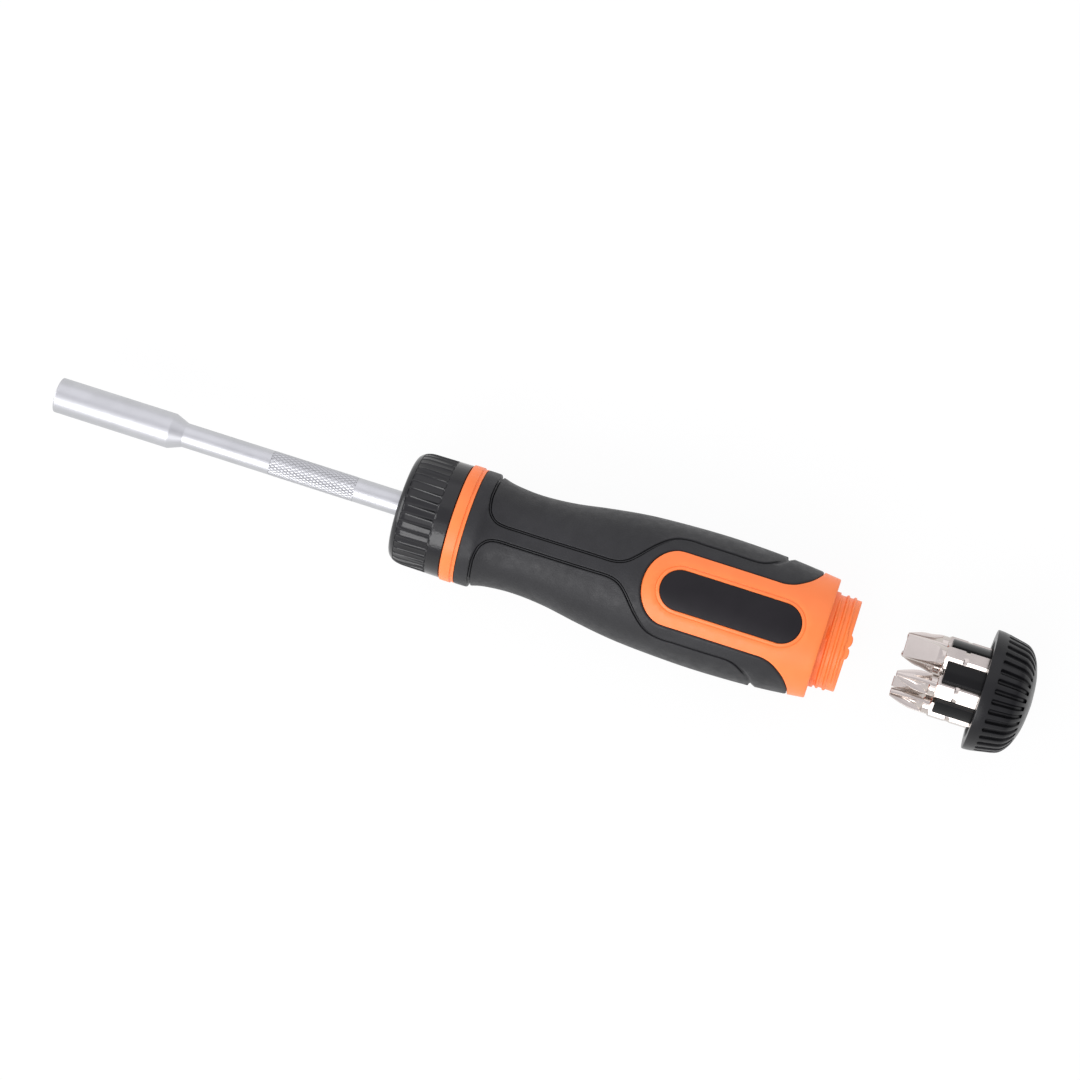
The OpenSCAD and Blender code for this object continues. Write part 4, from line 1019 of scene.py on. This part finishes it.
dress("machined_steel", "ratchet_housing", "front_bearing_plate", "thrust_washer", "pawl_pins",
      "ratchet_gear", "pawl_left", "pawl_right", "rack_screw")
dress("spring_steel", "housing_snap_ring", "pawl_spring_left", "pawl_spring_right", "detent_spring",
      "selector_snap_ring", "shaft_circlip")
dress("bearing_bronze", "rear_bush")
dress("magnet", "bit_magnet")


# White table and soft lamps

table_half, table_glow = 1.5, 0.94


def seen_directly(tree, share):
    """The share for rays from the camera or off a shiny or clear surface, and 0 for others."""
    path = add_node(tree, "LightPath", {}).outputs
    total = path["Is Camera Ray"]
    for other in ("Is Glossy Ray", "Is Transmission Ray"):
        total = add_node(tree, "Math", {0: total, 1: path[other]}, "MAXIMUM").outputs["Value"]
    return add_node(tree, "Math", {0: total, 1: share}, "MULTIPLY").outputs["Value"]


def white_stage():
    """A white table that shows as plain white, apart from the tool's soft shadow."""
    mesh = bpy.data.meshes.new("table")
    low, high, z = -table_half, table_half, -belly_r * MM
    mesh.from_pydata([(low, low, z), (high, low, z), (high, high, z), (low, high, z)], [], [(0, 1, 2, 3)])
    add_object("table", mesh)
    material, tree, shader = plain_material("table_white", (0.9, 0.9, 0.9), 0.9)
    glow = add_node(tree, "Emission", {"Color": (1, 1, 1, 1), "Strength": 1})
    mix = add_node(tree, "MixShader", {"Fac": seen_directly(tree, table_glow), 1: shader.outputs["BSDF"],
                                       2: glow.outputs["Emission"]})
    fill(tree, tree.nodes["Material Output"], {"Surface": mix.outputs["Shader"]})
    mesh.materials.append(material)


def studio_world():
    """White round the horizon and below, faintly blue grey overhead, and darker off the handle's end."""
    bpy.context.scene.world = world = bpy.data.worlds.new("studio")
    world.use_nodes = True
    tree = world.node_tree
    direction = add_node(tree, "TexCoord", {}).outputs["Generated"]
    split = add_node(tree, "SeparateXYZ", {"Vector": direction}).outputs
    pale, dark = (0.84, 0.83, 0.88), (0.46, 0.455, 0.485)
    sky = add_ramp(tree, split["X"], ((0.45, pale), (0.58, dark), (0.75, dark), (0.9, pale)))
    height = spread(tree, split["Z"], 0, 1, 0.08, 0.16)
    mix = add_node(tree, "MixRGB", {"Fac": height, "Color1": (1, 1, 1, 1), "Color2": sky})
    fill(tree, tree.nodes["Background"], {"Color": mix.outputs["Color"], "Strength": 1})


def add_lamp(name, place, size, power):
    """A soft lamp in metres and watts that faces the tool's middle, with its long side along the tool."""
    data = bpy.data.lights.new(name, "AREA")
    data.shape = "RECTANGLE"
    data.size, data.size_y = size
    data.energy = power
    back = (Vector(place) - Vector(tool_middle)).normalized()
    side = (Vector((1, 0, 0)) - back * back.x).normalized()
    aim(add_object(name, data), place, side, back.cross(side), back)


white_stage()
studio_world()
tool_middle = (0.14, 0, 0)
add_lamp("main_lamp", (0.03, -0.6, 0.54), (0.62, 0.42), 3.7)
add_lamp("soft_lamp", (0.03, -0.3, 0.74), (0.62, 0.22), 0.35)
add_lamp("fill_lamp", (0.12, 0.6, 0.6), (1.4, 0.9), 1.7)
add_lamp("side_lamp", (-0.7, -0.15, 0.3), (0.5, 0.5), 2.6)


# Camera at the photograph's viewing angle: the image is 1080 pixels square, and angles are in degrees

picture_px, focal_px, camera_distance = 1080, 3270, 908
foot_x, axis_drop = 225.8, 2.23
lean, tool_roll, axis_tilt = 5.231, 2.2, 17.7

across = Vector((0, cos_of(tool_roll), sin_of(tool_roll)))
away = Vector((0, -sin_of(tool_roll), cos_of(tool_roll)))
place = Vector((foot_x, 0, 0)) + away * camera_distance
target = Vector((foot_x - camera_distance * math.tan(math.radians(lean)), 0, 0)) + across * axis_drop
back = (place - target).normalized()
along = (Vector((1, 0, 0)) - back * back.x).normalized()
upward = back.cross(along)
c, s = cos_of(axis_tilt), sin_of(axis_tilt)
right, top = along * c + upward * s, upward * c - along * s
data = bpy.data.cameras.new("camera")
data.sensor_width = 36
data.lens = focal_px / picture_px * data.sensor_width
data.clip_start = 0.01
bpy.context.scene.camera = camera = add_object("camera", data)
aim(camera, place * MM, right, top, back)


bpy.context.scene.view_settings.view_transform = "Standard"
